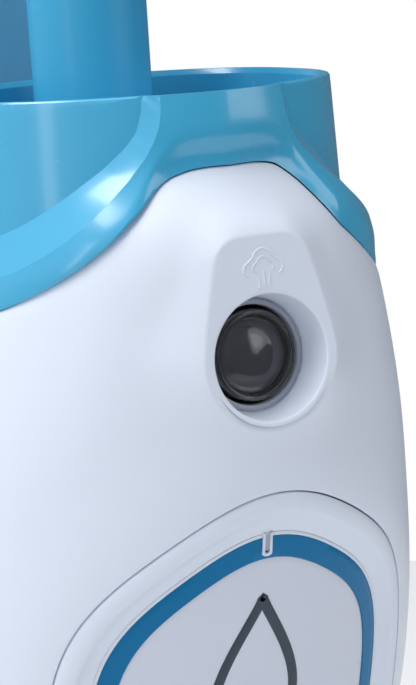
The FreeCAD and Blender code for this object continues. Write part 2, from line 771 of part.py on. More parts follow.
def ring_slab(half, grow_in, grow_out):
    outer = Part.Face(ring_outline(-half, grow_out)).extrude(V(2 * half, 0, 0))
    inner = Part.Face(ring_outline(-half - 1, 21.0 - grow_in)).extrude(V(2 * half + 2, 0, 0))
    return outer.cut(inner)


def handle_loop():
    loop = ring_slab(HANDLE_HALF - 5.0, 0.0, 0.0)
    loop = loop.fuse(ring_slab(HANDLE_HALF - 2.0, 1.5, 1.5))
    loop = loop.fuse(ring_slab(HANDLE_HALF, 4.0, 4.0))
    socket = cone(15.0, 17.0, (0, 0, 972), (0, 0, 1034))
    loop = loop.fuse(socket)
    cavity = Part.Face(ring_outline(-60, 21.0)).extrude(V(120, 0, 0))
    loop = loop.cut(cavity.common(box(-60, 60, -60, 60, 1036, 1300)))
    return loop.cut(rod(POLE_R + 0.05, (0, 0, 960), (0, 0, POLE_TOP + 0.1)))


def make_handle_half(side):
    low = min(side * 0.05, side * 60)
    return handle_loop().cut(make_grip_zone()).common(box(low, low + 59.95, -90, 120, 950, 1230))


def make_grip_zone():
    """The soft pad let into the loop's rear bar, where the palm rests."""
    zone = box(-10.5, 10.5, 34, 90, 1066, 1160)
    band = ring_slab(10.5, 0.0, -0.1).cut(ring_slab(12.0, 3.0, 3.0))
    return band.common(zone)


def make_grip_insert():
    zone = box(-10.3, 10.3, 34.2, 90, 1066.2, 1159.8)
    band = ring_slab(10.3, -0.2, 0.2).cut(ring_slab(12.0, 3.0, 2.8))
    parts = band.common(zone).Solids
    return max(parts, key=lambda piece: piece.Volume)


def make_lower_cord_hook():
    z = LOWER_HOOK_Z
    wide = HOOK_HALF_WIDTH
    clamp = pipe(POLE_R + 3.0, POLE_R + 0.02, (0, 0, z - 16), (0, 0, z + 16))
    arm = box(-wide, wide, POLE_R + 1.5, HOOK_REACH, z - HOOK_THICK_HALF, z + HOOK_THICK_HALF)
    end = box(-wide, wide, HOOK_REACH - HOOK_LIP, HOOK_REACH, z - HOOK_LIP_LENGTH, z)
    return clamp.fuse(arm).fuse(end)


def make_hook_base():
    base = rod(9.5, (0, 12.0, UPPER_HOOK_Z), (0, 19.0, UPPER_HOOK_Z))
    base = base.cut(cone(15.06, 17.06, (0, 0, 972), (0, 0, 1034)))
    return base.fuse(rod(3.0, (0, 19.0, UPPER_HOOK_Z), (0, 25.0, UPPER_HOOK_Z)))


def make_upper_cord_hook():
    hub = rod(9.5, (0, 19.3, UPPER_HOOK_Z), (0, 28.0, UPPER_HOOK_Z))
    z = UPPER_HOOK_Z
    wide = HOOK_HALF_WIDTH
    reach = HOOK_REACH + 4.0
    arm = box(-wide, wide, 20.0, reach, z - HOOK_THICK_HALF, z + HOOK_THICK_HALF)
    end = box(-wide, wide, reach - HOOK_LIP, reach, z, z + HOOK_LIP_LENGTH)
    shape = hub.fuse(arm).fuse(end)
    return shape.cut(rod(3.05, (0, 19.0, UPPER_HOOK_Z), (0, 25.3, UPPER_HOOK_Z)))


BUILDERS = {
    "mop_pad": make_mop_pad,
    "hook_strips": make_hook_strips,
    "sole_plate": make_sole_plate,
    "steam_channel_plate": make_steam_channel_plate,
    "manifold_seal": make_manifold_seal,
    "head_cover": make_head_cover,
    "head_screws": make_head_screws,
    "pitch_pins": make_pitch_pins,
    "knuckle": make_knuckle,
    "swivel_pin": make_swivel_pin,
    "neck_fork": make_neck_fork,
    "neck_ring": make_neck_ring,
    "front_shell": make_front_shell,
    "rear_shell": make_rear_shell,
    "shell_screws": make_shell_screws,
    "collar": make_collar,
    "collar_deck": make_collar_deck,
    "column_screws": make_column_screws,
    "badge_bezel": make_badge_bezel,
    "badge_ring": make_badge_ring,
    "badge_plate": make_badge_plate,
    "badge_emblem": make_badge_emblem,
    "button_well": make_button_well,
    "well_ring": make_well_ring,
    "button_cap": make_button_cap,
    "button_core": make_button_core,
    "button_spring": make_button_spring,
    "microswitch": make_microswitch,
    "control_board": make_control_board,
    "indicator_led": make_indicator_led,
    "boiler": make_boiler,
    "boiler_bracket": make_boiler_bracket,
    "thermostats": make_thermostats,
    "pump": make_pump,
    "pump_mounts": make_pump_mounts,
    "water_tube": make_water_tube,
    "steam_tube": make_steam_tube,
    "tank_socket": make_tank_socket,
    "socket_seal": make_socket_seal,
    "cord_gland": make_cord_gland,
    "tank_shell": make_tank_shell,
    "tank_top": make_tank_top,
    "tank_valve": make_tank_valve,
    "inlet_filter": make_inlet_filter,
    "cap_hinge": make_cap_hinge,
    "tank_cap": make_tank_cap,
    "tank_latch": make_tank_latch,
    "column": make_column,
    "pole_ferrule": make_pole_ferrule,
    "pole": make_pole,
    "pole_button": make_pole_button,
    "handle_left": lambda: make_handle_half(-1),
    "handle_right": lambda: make_handle_half(1),
    "grip_insert": make_grip_insert,
    "lower_cord_hook": make_lower_cord_hook,
    "hook_base": make_hook_base,
    "upper_cord_hook": make_upper_cord_hook,
}


os.makedirs("parts", exist_ok=True)
for node, build in BUILDERS.items():
    shape = build()
    print(node, len(shape.Solids), round(shape.Volume), shape.isValid())
    shape.exportStep("parts/" + node + ".step")
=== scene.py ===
import json
import math

import bmesh
import bpy
import numpy as np
from mathutils import Matrix, Vector
from mathutils.geometry import delaunay_2d_cdt


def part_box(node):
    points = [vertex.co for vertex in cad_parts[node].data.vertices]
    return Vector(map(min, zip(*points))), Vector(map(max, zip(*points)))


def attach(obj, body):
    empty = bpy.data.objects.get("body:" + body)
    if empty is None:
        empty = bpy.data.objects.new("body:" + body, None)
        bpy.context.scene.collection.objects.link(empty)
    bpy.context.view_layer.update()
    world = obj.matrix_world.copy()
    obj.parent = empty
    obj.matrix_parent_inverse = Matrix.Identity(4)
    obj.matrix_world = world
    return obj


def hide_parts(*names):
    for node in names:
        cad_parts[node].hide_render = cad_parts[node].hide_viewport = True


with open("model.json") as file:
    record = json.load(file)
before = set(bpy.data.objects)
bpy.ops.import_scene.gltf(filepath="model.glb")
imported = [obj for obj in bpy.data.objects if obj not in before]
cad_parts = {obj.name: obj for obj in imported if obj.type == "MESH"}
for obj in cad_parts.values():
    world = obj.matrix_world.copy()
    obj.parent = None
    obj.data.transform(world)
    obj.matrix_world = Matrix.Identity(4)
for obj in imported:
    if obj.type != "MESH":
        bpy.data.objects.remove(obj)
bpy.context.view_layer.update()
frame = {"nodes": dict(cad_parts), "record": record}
MM = 0.001

# ------------------------------------------------------------------ dimensions, millimetres
SECTIONS = np.array([
    # height, half width, front, back
    (150.0, 24.0, -24.0, 24.0),
    (185.0, 30.0, -32.0, 29.0),
    (225.0, 42.0, -44.0, 36.0),
    (265.0, 56.0, -54.0, 42.0),
    (300.0, 67.0, -61.5, 45.5),
    (335.0, 71.5, -69.2, 49.0),
    (370.0, 68.3, -78.0, 50.0),
    (400.0, 63.8, -83.2, 50.0),
    (425.0, 58.4, -84.2, 47.0),
    (440.0, 54.6, -83.2, 43.5),
    (452.0, 51.4, -79.8, 39.5),
    (464.0, 49.8, -71.2, 34.0),
    (472.0, 49.5, -70.2, 31.5),
    (480.0, 49.0, -69.4, 29.4),
])
BODY_BOTTOM = 150.0
RIM_Z = 480.0
DECK_TOP = 452.0
MIDDLE_SHARE = 0.53
SEAM = np.array([(0.0, 463.3), (9.0, 463.1), (12.0, 462.4), (14.7, 461.0), (17.0, 459.3), (20.5, 455.8),
                 (25.5, 450.9), (30.4, 446.8), (35.0, 443.1), (39.4, 439.8), (43.2, 437.2), (48.4, 433.9),
                 (53.0, 431.2), (57.0, 429.2), (60.0, 428.6), (90.0, 428.6)])
SEAM_GAP = 0.4
FACE_Y = -85.2
FACE_Z = 422.5
FACE_TILT = math.radians(5.7)
MOUTH_R = 14.2
SEAT_R = 12.8
SEAT_DEPTH = 9.5
CAP_R = 10.3
CAP_DEPTH = 7.5
BADGE_Z = 332.0
BADGE_WAVE = 0.015
BADGE_ASPECT = 0.845
BEZEL_R = 58.0
RECESS_R = 48.0
RING_R = 47.2
LABEL_R = 41.5
BADGE_SINK = 3.0
COLUMN_R = 15.0
BAY_HALF = 37.5
BAY_FRONT = 32.0
SHELF_BACK = 84.0
FILLER_Y = 51.5
PITCH_Y = 10.0
PITCH_Z = 40.0
SWIVEL_Z = 84.0
SNAP_BUTTON_Z = 616.0
LOWER_HOOK_Z = 760.0
UPPER_HOOK_Z = 996.0
FLOOR_R = 1.0


# ------------------------------------------------------------------ small maths
def spline(xs, ys):
    """A natural cubic through the points, as a function."""
    xs = np.asarray(xs, float)
    ys = np.asarray(ys, float)
    count = len(xs)
    step = np.diff(xs)
    slope = np.diff(ys) / step
    matrix = np.eye(count)
    right = np.zeros(count)
    for row in range(1, count - 1):
        matrix[row, row - 1] = step[row - 1]
        matrix[row, row] = 2 * (step[row - 1] + step[row])
        matrix[row, row + 1] = step[row]
        right[row] = 6 * (slope[row] - slope[row - 1])
    bend = np.linalg.solve(matrix, right)

    def value(x):
        x = np.clip(np.asarray(x, float), xs[0], xs[-1])
        k = np.clip(np.searchsorted(xs, x) - 1, 0, count - 2)
        h = step[k]
        a = xs[k + 1] - x
        b = x - xs[k]
        cubic = (bend[k] * a ** 3 + bend[k + 1] * b ** 3) / (6 * h)
        return cubic + (ys[k] / h - bend[k] * h / 6) * a + (ys[k + 1] / h - bend[k + 1] * h / 6) * b

    return value


def full_turn(count):
    return np.linspace(0, 2 * math.pi, count, endpoint=False)


def ease(t):
    t = np.clip(t, 0.0, 1.0)
    return t * t * (3 - 2 * t)


def signed_power(value, power):
    return np.copysign(np.abs(value) ** power, value)


half_at = spline(SECTIONS[:, 0], SECTIONS[:, 1])
front_at = spline(SECTIONS[:, 0], SECTIONS[:, 2])
back_at = spline(SECTIONS[:, 0], SECTIONS[:, 3])
seam_even = spline(SEAM[:, 0], SEAM[:, 1])


def seam_at(x):
    """The seam's height over the front; it runs a little lower on the right than on the left."""
    away = np.abs(x)
    lean = np.interp(away, (12.0, 17.0, 26.0, 40.0, 53.0, 60.0), (0.0, 1.0, 3.0, 2.2, 0.8, 0.0))
    return seam_even(away) - np.sign(x) * lean


def powers_at(z):
    blend = np.clip((z - 440.0) / 40.0, 0.0, 1.0)
    return 2.1 - 0.5 * blend, 2.2 + 0.4 * blend


def body_point(u, z, grow=0.0):
    """A point of the body's skin: u is the turn from the front centre, z the height."""
    power_x, power_y = powers_at(z)
    half = half_at(z) + grow
    front = front_at(z)
    back = back_at(z)
    middle = front + MIDDLE_SHARE * (back - front)
    cosine = np.cos(u)
    depth = np.where(cosine > 0, middle - front, back - middle) + grow
    x = half * signed_power(np.sin(u), 2 / power_x)
    y = middle - depth * signed_power(cosine, 2 / power_y)
    return x, y


def turn_at(x, z):
    """The turn u at which the front half of the skin has this x."""
    power_x = powers_at(z)[0]
    share = np.clip(np.abs(x) / half_at(z), 0, 1) ** (power_x / 2)
    return np.copysign(np.arcsin(share), x)


def front_y(x, z, grow=0.0):
    return body_point(turn_at(x, z), z, grow)[1]


def seam_height(u):
    """The height of the white shells' top edge on the column of skin at turn u."""
    z = np.full_like(np.asarray(u, float), 445.0)
    for _ in range(40):
        x = body_point(u, z)[0]
        z = 0.5 * z + 0.5 * np.where(np.cos(u) > 0, seam_at(x), SEAM[-1, 1])
    return z


# ------------------------------------------------------------------ mesh helpers
def make_piece(name, points, faces, material, body, replaces=(), sharp=35.0, normals=None):
    """A mesh object from points in millimetres."""
    mesh = bpy.data.meshes.new(name)
    mesh.from_pydata((np.asarray(points, float) * MM).tolist(), [], faces)
    mesh.validate()
    mesh.polygons.foreach_set("use_smooth", [True] * len(mesh.polygons))
    if normals is None:
        mesh.set_sharp_from_angle(angle=math.radians(sharp))
    else:
        mesh.normals_split_custom_set_from_vertices(np.asarray(normals, float).tolist())
    return place_piece(bpy.data.objects.new(name, mesh), material, body, replaces)


def joined_piece(name, parts, material, body, replaces=(), sharp=35.0):
    points, faces = join_parts(parts)
    return make_piece(name, points, faces, material, body, replaces, sharp)


def place_piece(piece, material, body, replaces=()):
    if piece.name not in bpy.context.scene.collection.objects:
        bpy.context.scene.collection.objects.link(piece)
    piece.data.materials.clear()
    piece.data.materials.append(material)
    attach(piece, body)
    if replaces:
        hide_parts(*replaces)
    return piece


def skin_rings(rings, closed=True, cap_first=False, cap_last=False, offset=0):
    """Points and faces that join rings of equally many points."""
    rings = [np.asarray(ring, float) for ring in rings]
    count = len(rings[0])
    faces = []
    last = count if closed else count - 1
    for row in range(len(rings) - 1):
        for k in range(last):
            a = offset + row * count + k
            b = offset + row * count + (k + 1) % count
            faces.append((a, b, b + count, a + count))
    if cap_first:
        faces.append(tuple(offset + k for k in reversed(range(count))))
    if cap_last:
        base = offset + (len(rings) - 1) * count
        faces.append(tuple(base + k for k in range(count)))
    return np.concatenate(rings), faces


def open_with_ends(rings):
    """The skin of rings that don't close, and a flat face on the first and the last."""
    ends = [(ring, [tuple(range(len(ring)))]) for ring in (rings[0], rings[-1])]
    return [skin_rings(rings, closed=False)] + ends


def turned(profile, steps=96):
    """Rings round Z from a profile of (radius, height)."""
    turns = full_turn(steps)
    rings = []
    for radius, height in profile:
        ring = np.stack([radius * np.cos(turns), radius * np.sin(turns), np.full(steps, height)], 1)
        rings.append(ring)
    return rings


def rounded(corners, radius, steps=5):
    """A profile with its inner corners rounded by arcs; radius is one number or one per corner."""
    corners = [np.asarray(c, float) for c in corners]
    out = [corners[0]]
    for index in range(1, len(corners) - 1):
        r = radius[index] if hasattr(radius, "__len__") else radius
        before = corners[index - 1] - corners[index]
        after = corners[index + 1] - corners[index]
        long_b = np.linalg.norm(before)
        long_a = np.linalg.norm(after)
        reach = min(r, 0.48 * long_b, 0.48 * long_a)
        start = corners[index] + before / long_b * reach
        end = corners[index] + after / long_a * reach
        for k in range(steps + 1):
            t = k / steps
            out.append((1 - t) ** 2 * start + 2 * t * (1 - t) * corners[index] + t * t * end)
    out.append(corners[-1])
    return out


def moved(points, matrix):
    points = np.asarray(points, float)
    turn = np.array(matrix.to_3x3())
    shift = np.array(matrix.to_translation())
    return points @ turn.T + shift


def lathe_piece(name, profile, matrix, material, body, replaces=(), steps=96, sharp=35.0):
    points, faces = skin_rings(turned(profile, steps))
    return make_piece(name, moved(points, matrix), faces, material, body, replaces, sharp)


FACE_MATRIX = Matrix.Translation((0, FACE_Y, FACE_Z)) @ Matrix.Rotation(math.pi / 2 - FACE_TILT, 4, "X")


def tube_along(points, radius, sides=10, closed=False):
    """A round tube along a list of points, with its ends shut."""
    points = np.asarray(points, float)
    count = len(points)
    rings = []
    side = None
    for k in range(count):
        ahead = points[(k + 1) % count] if closed or k < count - 1 else points[k]
        behind = points[k - 1] if closed or k > 0 else points[k]
        along = ahead - behind
        along /= np.linalg.norm(along)
        if side is None:
            side = np.cross(along, (0.3, 0.2, 1.0) if abs(along[2]) < 0.9 else (1.0, 0.2, 0.0))
        side = side - along * np.dot(side, along)
        side /= np.linalg.norm(side)
        up = np.cross(along, side)
        r = radius[k] if hasattr(radius, "__len__") else radius
        turns = full_turn(sides)
        rings.append(points[k] + r * (np.outer(np.cos(turns), side) + np.outer(np.sin(turns), up)))
    if closed:
        rings.append(rings[0])
    return skin_rings(rings, True, not closed, not closed)


def join_parts(parts):
    """One list of points and one of faces from several."""
    points = []
    faces = []
    start = 0
    for part_points, part_faces in parts:
        points.append(np.asarray(part_points, float))
        faces += [tuple(start + k for k in face) for face in part_faces]
        start += len(part_points)
    return np.concatenate(points), faces


# ------------------------------------------------------------------ materials
def new_material(name):
    material = bpy.data.materials.new(name)
    material.use_nodes = True
    return material, material.node_tree.nodes, material.node_tree.links


def noise(nodes, links, scale, detail=3.0, stretch=None):
    """A noise in object space, in metres."""
    place = nodes.new("ShaderNodeTexCoord")
    texture = nodes.new("ShaderNodeTexNoise")
    texture.inputs["Scale"].default_value = scale
    texture.inputs["Detail"].default_value = detail
    if stretch:
        mapping = nodes.new("ShaderNodeMapping")
        mapping.inputs["Scale"].default_value = stretch
        links.new(place.outputs["Object"], mapping.inputs["Vector"])
        links.new(mapping.outputs["Vector"], texture.inputs["Vector"])
    else:
        links.new(place.outputs["Object"], texture.inputs["Vector"])
    return texture.outputs["Fac"]


def spread(nodes, links, source, low, high):
    node = nodes.new("ShaderNodeMapRange")
    node.inputs["From Min"].default_value = 0.3
    node.inputs["From Max"].default_value = 0.7
    node.inputs["To Min"].default_value = low
    node.inputs["To Max"].default_value = high
    links.new(source, node.inputs["Value"])
    return node.outputs["Result"]


def tint(nodes, links, source, first, second):
    ramp = nodes.new("ShaderNodeValToRGB")
    ramp.color_ramp.elements[0].position = 0.3
    ramp.color_ramp.elements[0].color = (*first, 1)
    ramp.color_ramp.elements[1].position = 0.7
    ramp.color_ramp.elements[1].color = (*second, 1)
    links.new(source, ramp.inputs["Fac"])
    return ramp.outputs["Color"]


def bump(nodes, links, shader, source, strength, distance):
    node = nodes.new("ShaderNodeBump")
    node.inputs["Strength"].default_value = strength
    node.inputs["Distance"].default_value = distance
    links.new(source, node.inputs["Height"])
    links.new(node.outputs["Normal"], shader.inputs["Normal"])
    return node


def plastic(name, color, rough, vary=0.03, grain=900.0, grain_depth=0.00003, coat=0.0, specular=0.5):
    """Moulded plastic: faint cloudy colour, uneven gloss and a fine moulded grain."""
    material, nodes, links = new_material(name)
    shader = nodes["Principled BSDF"]
    shader.inputs["Specular IOR Level"].default_value = specular
    shader.inputs["Coat Weight"].default_value = coat
    shader.inputs["Coat Roughness"].default_value = 0.12
    cloud = noise(nodes, links, 9.0, 1.0)
    darker = [c * (1 - vary) for c in color]
    lighter = [min(1.0, c * (1 + vary)) for c in color]
    links.new(tint(nodes, links, cloud, darker, lighter), shader.inputs["Base Color"])
    scuff = noise(nodes, links, 160.0, 5.0)
    links.new(spread(nodes, links, scuff, rough * 0.88, rough * 1.12), shader.inputs["Roughness"])
    bump(nodes, links, shader, noise(nodes, links, grain, 2.0), 0.08, grain_depth)
    return material


def clear_plastic(name, color, rough, alpha_mix, vary=0.05):
    """Tinted see-through plastic: part clear, part milky, so it reads at any thickness."""
    material, nodes, links = new_material(name)
    shader = nodes["Principled BSDF"]
    cloud = noise(nodes, links, 22.0)
    darker = [c * (1 - vary) for c in color]
    links.new(tint(nodes, links, cloud, darker, color), shader.inputs["Base Color"])
    links.new(spread(nodes, links, noise(nodes, links, 120.0), rough * 0.8, rough * 1.2),
              shader.inputs["Roughness"])
    shader.inputs["IOR"].default_value = 1.45
    shader.inputs["Transmission Weight"].default_value = alpha_mix
    bump(nodes, links, shader, noise(nodes, links, 300.0, 2.0), 0.1, 0.00005)
    return material


def metal(name, color, rough, stretch=(1, 1, 0.05)):
    material, nodes, links = new_material(name)
    shader = nodes["Principled BSDF"]
    shader.inputs["Metallic"].default_value = 1.0
    lines = noise(nodes, links, 900.0, 3.0, stretch)
    links.new(tint(nodes, links, lines, [c * 0.9 for c in color], color), shader.inputs["Base Color"])
    links.new(spread(nodes, links, lines, rough * 0.8, rough * 1.3), shader.inputs["Roughness"])
    bump(nodes, links, shader, lines, 0.15, 0.00002)
    return material


def rubber(name, color, rough=0.62):
    material, nodes, links = new_material(name)
    shader = nodes["Principled BSDF"]
    shader.inputs["Specular IOR Level"].default_value = 0.35
    grain = noise(nodes, links, 1400.0, 4.0)
    links.new(tint(nodes, links, grain, [c * 0.85 for c in color], color), shader.inputs["Base Color"])
    links.new(spread(nodes, links, grain, rough * 0.9, rough * 1.1), shader.inputs["Roughness"])
    bump(nodes, links, shader, grain, 0.3, 0.00008)
    return material


def microfibre(name, light, dark):
    """Looped chenille cloth: short pile in wandering tufts."""
    material, nodes, links = new_material(name)
    shader = nodes["Principled BSDF"]
    shader.inputs["Sheen Weight"].default_value = 0.5
    shader.inputs["Sheen Roughness"].default_value = 0.4
    shader.inputs["Specular IOR Level"].default_value = 0.15
    place = nodes.new("ShaderNodeTexCoord")
    cells = nodes.new("ShaderNodeTexVoronoi")
    cells.inputs["Scale"].default_value = 420.0
    links.new(place.outputs["Object"], cells.inputs["Vector"])
    fuzz = noise(nodes, links, 1500.0, 6.0)
    links.new(tint(nodes, links, fuzz, dark, light), shader.inputs["Base Color"])
    links.new(spread(nodes, links, fuzz, 0.8, 0.98), shader.inputs["Roughness"])
    first = bump(nodes, links, shader, cells.outputs["Distance"], 0.7, 0.0009)
    second = nodes.new("ShaderNodeBump")
    second.inputs["Strength"].default_value = 0.5
    second.inputs["Distance"].default_value = 0.0004
    links.new(fuzz, second.inputs["Height"])
    links.new(first.outputs["Normal"], second.inputs["Normal"])
    links.new(second.outputs["Normal"], shader.inputs["Normal"])
    return material


WHITE = plastic("white_shell", (0.74, 0.80, 0.90), 0.36, vary=0.01, specular=0.4)
BLUE = plastic("blue_column", (0.055, 0.43, 0.68), 0.32, vary=0.02, specular=0.35)
COLLAR_BLUE = plastic("blue_collar", (0.052, 0.40, 0.65), 0.25, vary=0.02, coat=0.45, specular=0.55)
BADGE_BLUE = plastic("blue_badge", (0.003, 0.165, 0.37), 0.3, vary=0.02, specular=0.15)
LABEL = plastic("label_film", (0.66, 0.70, 0.80), 0.42, vary=0.02, grain=2600.0)
SLATE = plastic("slate_ink", (0.018, 0.035, 0.06), 0.45, grain=2600.0)
TRIM = plastic("grey_trim", (0.40, 0.43, 0.50), 0.38)
GREY = plastic("grey_plastic", (0.30, 0.32, 0.36), 0.45)
DARK = plastic("dark_plastic", (0.030, 0.031, 0.038), 0.42)
LENS_DARK = plastic("dark_lens", (0.009, 0.0085, 0.013), 0.2, vary=0.1, specular=0.25)
BOARD = plastic("solder_mask", (0.02, 0.12, 0.06), 0.4)
CLEAR = clear_plastic("clear_button", (0.92, 0.94, 0.98), 0.05, 0.97)
TANK = clear_plastic("tank_wall", (0.30, 0.74, 0.98), 0.14, 0.50)
LED = clear_plastic("led_lens", (0.8, 0.9, 1.0), 0.1, 0.8)
STEEL = metal("steel", (0.60, 0.61, 0.63), 0.3)
ALUMINIUM = metal("cast_aluminium", (0.72, 0.72, 0.73), 0.45, (1, 1, 1))
SILICONE = rubber("silicone", (0.42, 0.17, 0.12), 0.5)
RUBBER = rubber("soft_grip", (0.035, 0.036, 0.042))
PAD = microfibre("pad_cloth", (0.74, 0.79, 0.88), (0.50, 0.58, 0.72))
TRIM_CLOTH = microfibre("pad_binding", (0.10, 0.42, 0.66), (0.05, 0.28, 0.50))
TAPE = microfibre("hook_tape", (0.05, 0.05, 0.06), (0.02, 0.02, 0.025))

SLOT_MATERIALS = {
    "body_white": WHITE, "column_blue": BLUE, "collar_blue": COLLAR_BLUE, "badge_blue": BADGE_BLUE,
    "badge_label": LABEL, "emblem_slate": SLATE, "button_clear": CLEAR, "button_dark": LENS_DARK,
    "trim_grey": TRIM, "tank_clear": TANK, "tank_blue": BLUE, "seal_rubber": SILICONE,
    "dark_rubber": RUBBER, "dark_plastic": DARK, "grey_plastic": GREY, "steel": STEEL,
    "aluminium": ALUMINIUM, "pole_blue": BLUE, "board_green": BOARD, "microfibre": PAD,
    "hook_tape": TAPE, "led_clear": LED,
}


def dress_cad_nodes():
    """Every CAD node that stays gets the procedural material of its slot."""
    slots = {part["node"]: part["material_slot"] for part in frame["record"]["subparts"]}
    for node, piece in frame["nodes"].items():
        material = SLOT_MATERIALS[slots[node]]
        if not piece.data.materials:
            piece.data.materials.append(material)
        for index in range(len(piece.data.materials)):
            piece.data.materials[index] = material


# ------------------------------------------------------------------ white shells
def boss_distance(x, v):
    """Distance outside the button's raised face, in the face's own plane."""
    top = 27.0
    low_r = 16.6
    share = np.clip(v / top, 0, 1)
    half = low_r + (10.2 - low_r) * share ** 1.25
    side = (np.abs(x) - half) * 0.96
    over = v - top
    corner = 4.5
    inside_x = side + corner
    inside_v = over + corner
    outer = np.hypot(np.maximum(inside_x, 0), np.maximum(inside_v, 0))
    boxed = outer + np.minimum(np.maximum(inside_x, inside_v), 0) - corner
    round_low = np.hypot(x, v) - low_r
    return np.where(v > 0, boxed, round_low)


def hexagon_radius(phi, radius):
    return radius * (1 + BADGE_WAVE * np.cos(6 * (phi - math.pi / 2)))


def hexagon_loop(radius, count=240):
    phi = full_turn(count)
    reach = hexagon_radius(phi, radius)
    return BADGE_ASPECT * reach * np.cos(phi), BADGE_Z + reach * np.sin(phi)


def badge_reach(x, z):
    """How far a point lies from the badge's centre, and the badge edge's distance the same way."""
    across = x / BADGE_ASPECT
    return np.hypot(across, z - BADGE_Z), hexagon_radius(np.arctan2(z - BADGE_Z, across), BEZEL_R + 1.1)


def face_plane_y(x, z):
    """The button's face: flat round the mouth, falling away toward its lower edge."""
    v = (z - FACE_Z) / math.cos(FACE_TILT)
    low = np.clip((-v - 4.0) / 13.0, 0, 1.4)
    return FACE_Y + (z - FACE_Z) * math.tan(FACE_TILT) + 1.1 * low ** 2


def badge_swell(x, z):
    """The shell swells a little toward the badge."""
    away, edge = badge_reach(x, z)
    return 1.5 * (1 - ease((away - edge) / 24.0))


def skin_y(x, z):
    """The body's front with the swelling round the badge."""
    return front_y(x, z) - badge_swell(x, z)


def shell_y(x, z):
    """The front shell's outside, with the button's face standing out of the body."""
    body = skin_y(x, z)
    v = (z - FACE_Z) / math.cos(FACE_TILT)
    outside = np.maximum(boss_distance(x, v), 0)
    reach = 14.0 - 6.0 * ease(v / 22.0)
    share = np.clip(1 - outside / reach, 0, 1) ** 2.6
    y = body + (face_plane_y(x, z) - body) * share
    edge = (seam_at(x) - z) * 0.8
    roll = np.clip(1 - edge / 2.6, 0, 1)
    return y + 0.7 * roll ** 2


TURN_SCALE = 62.0


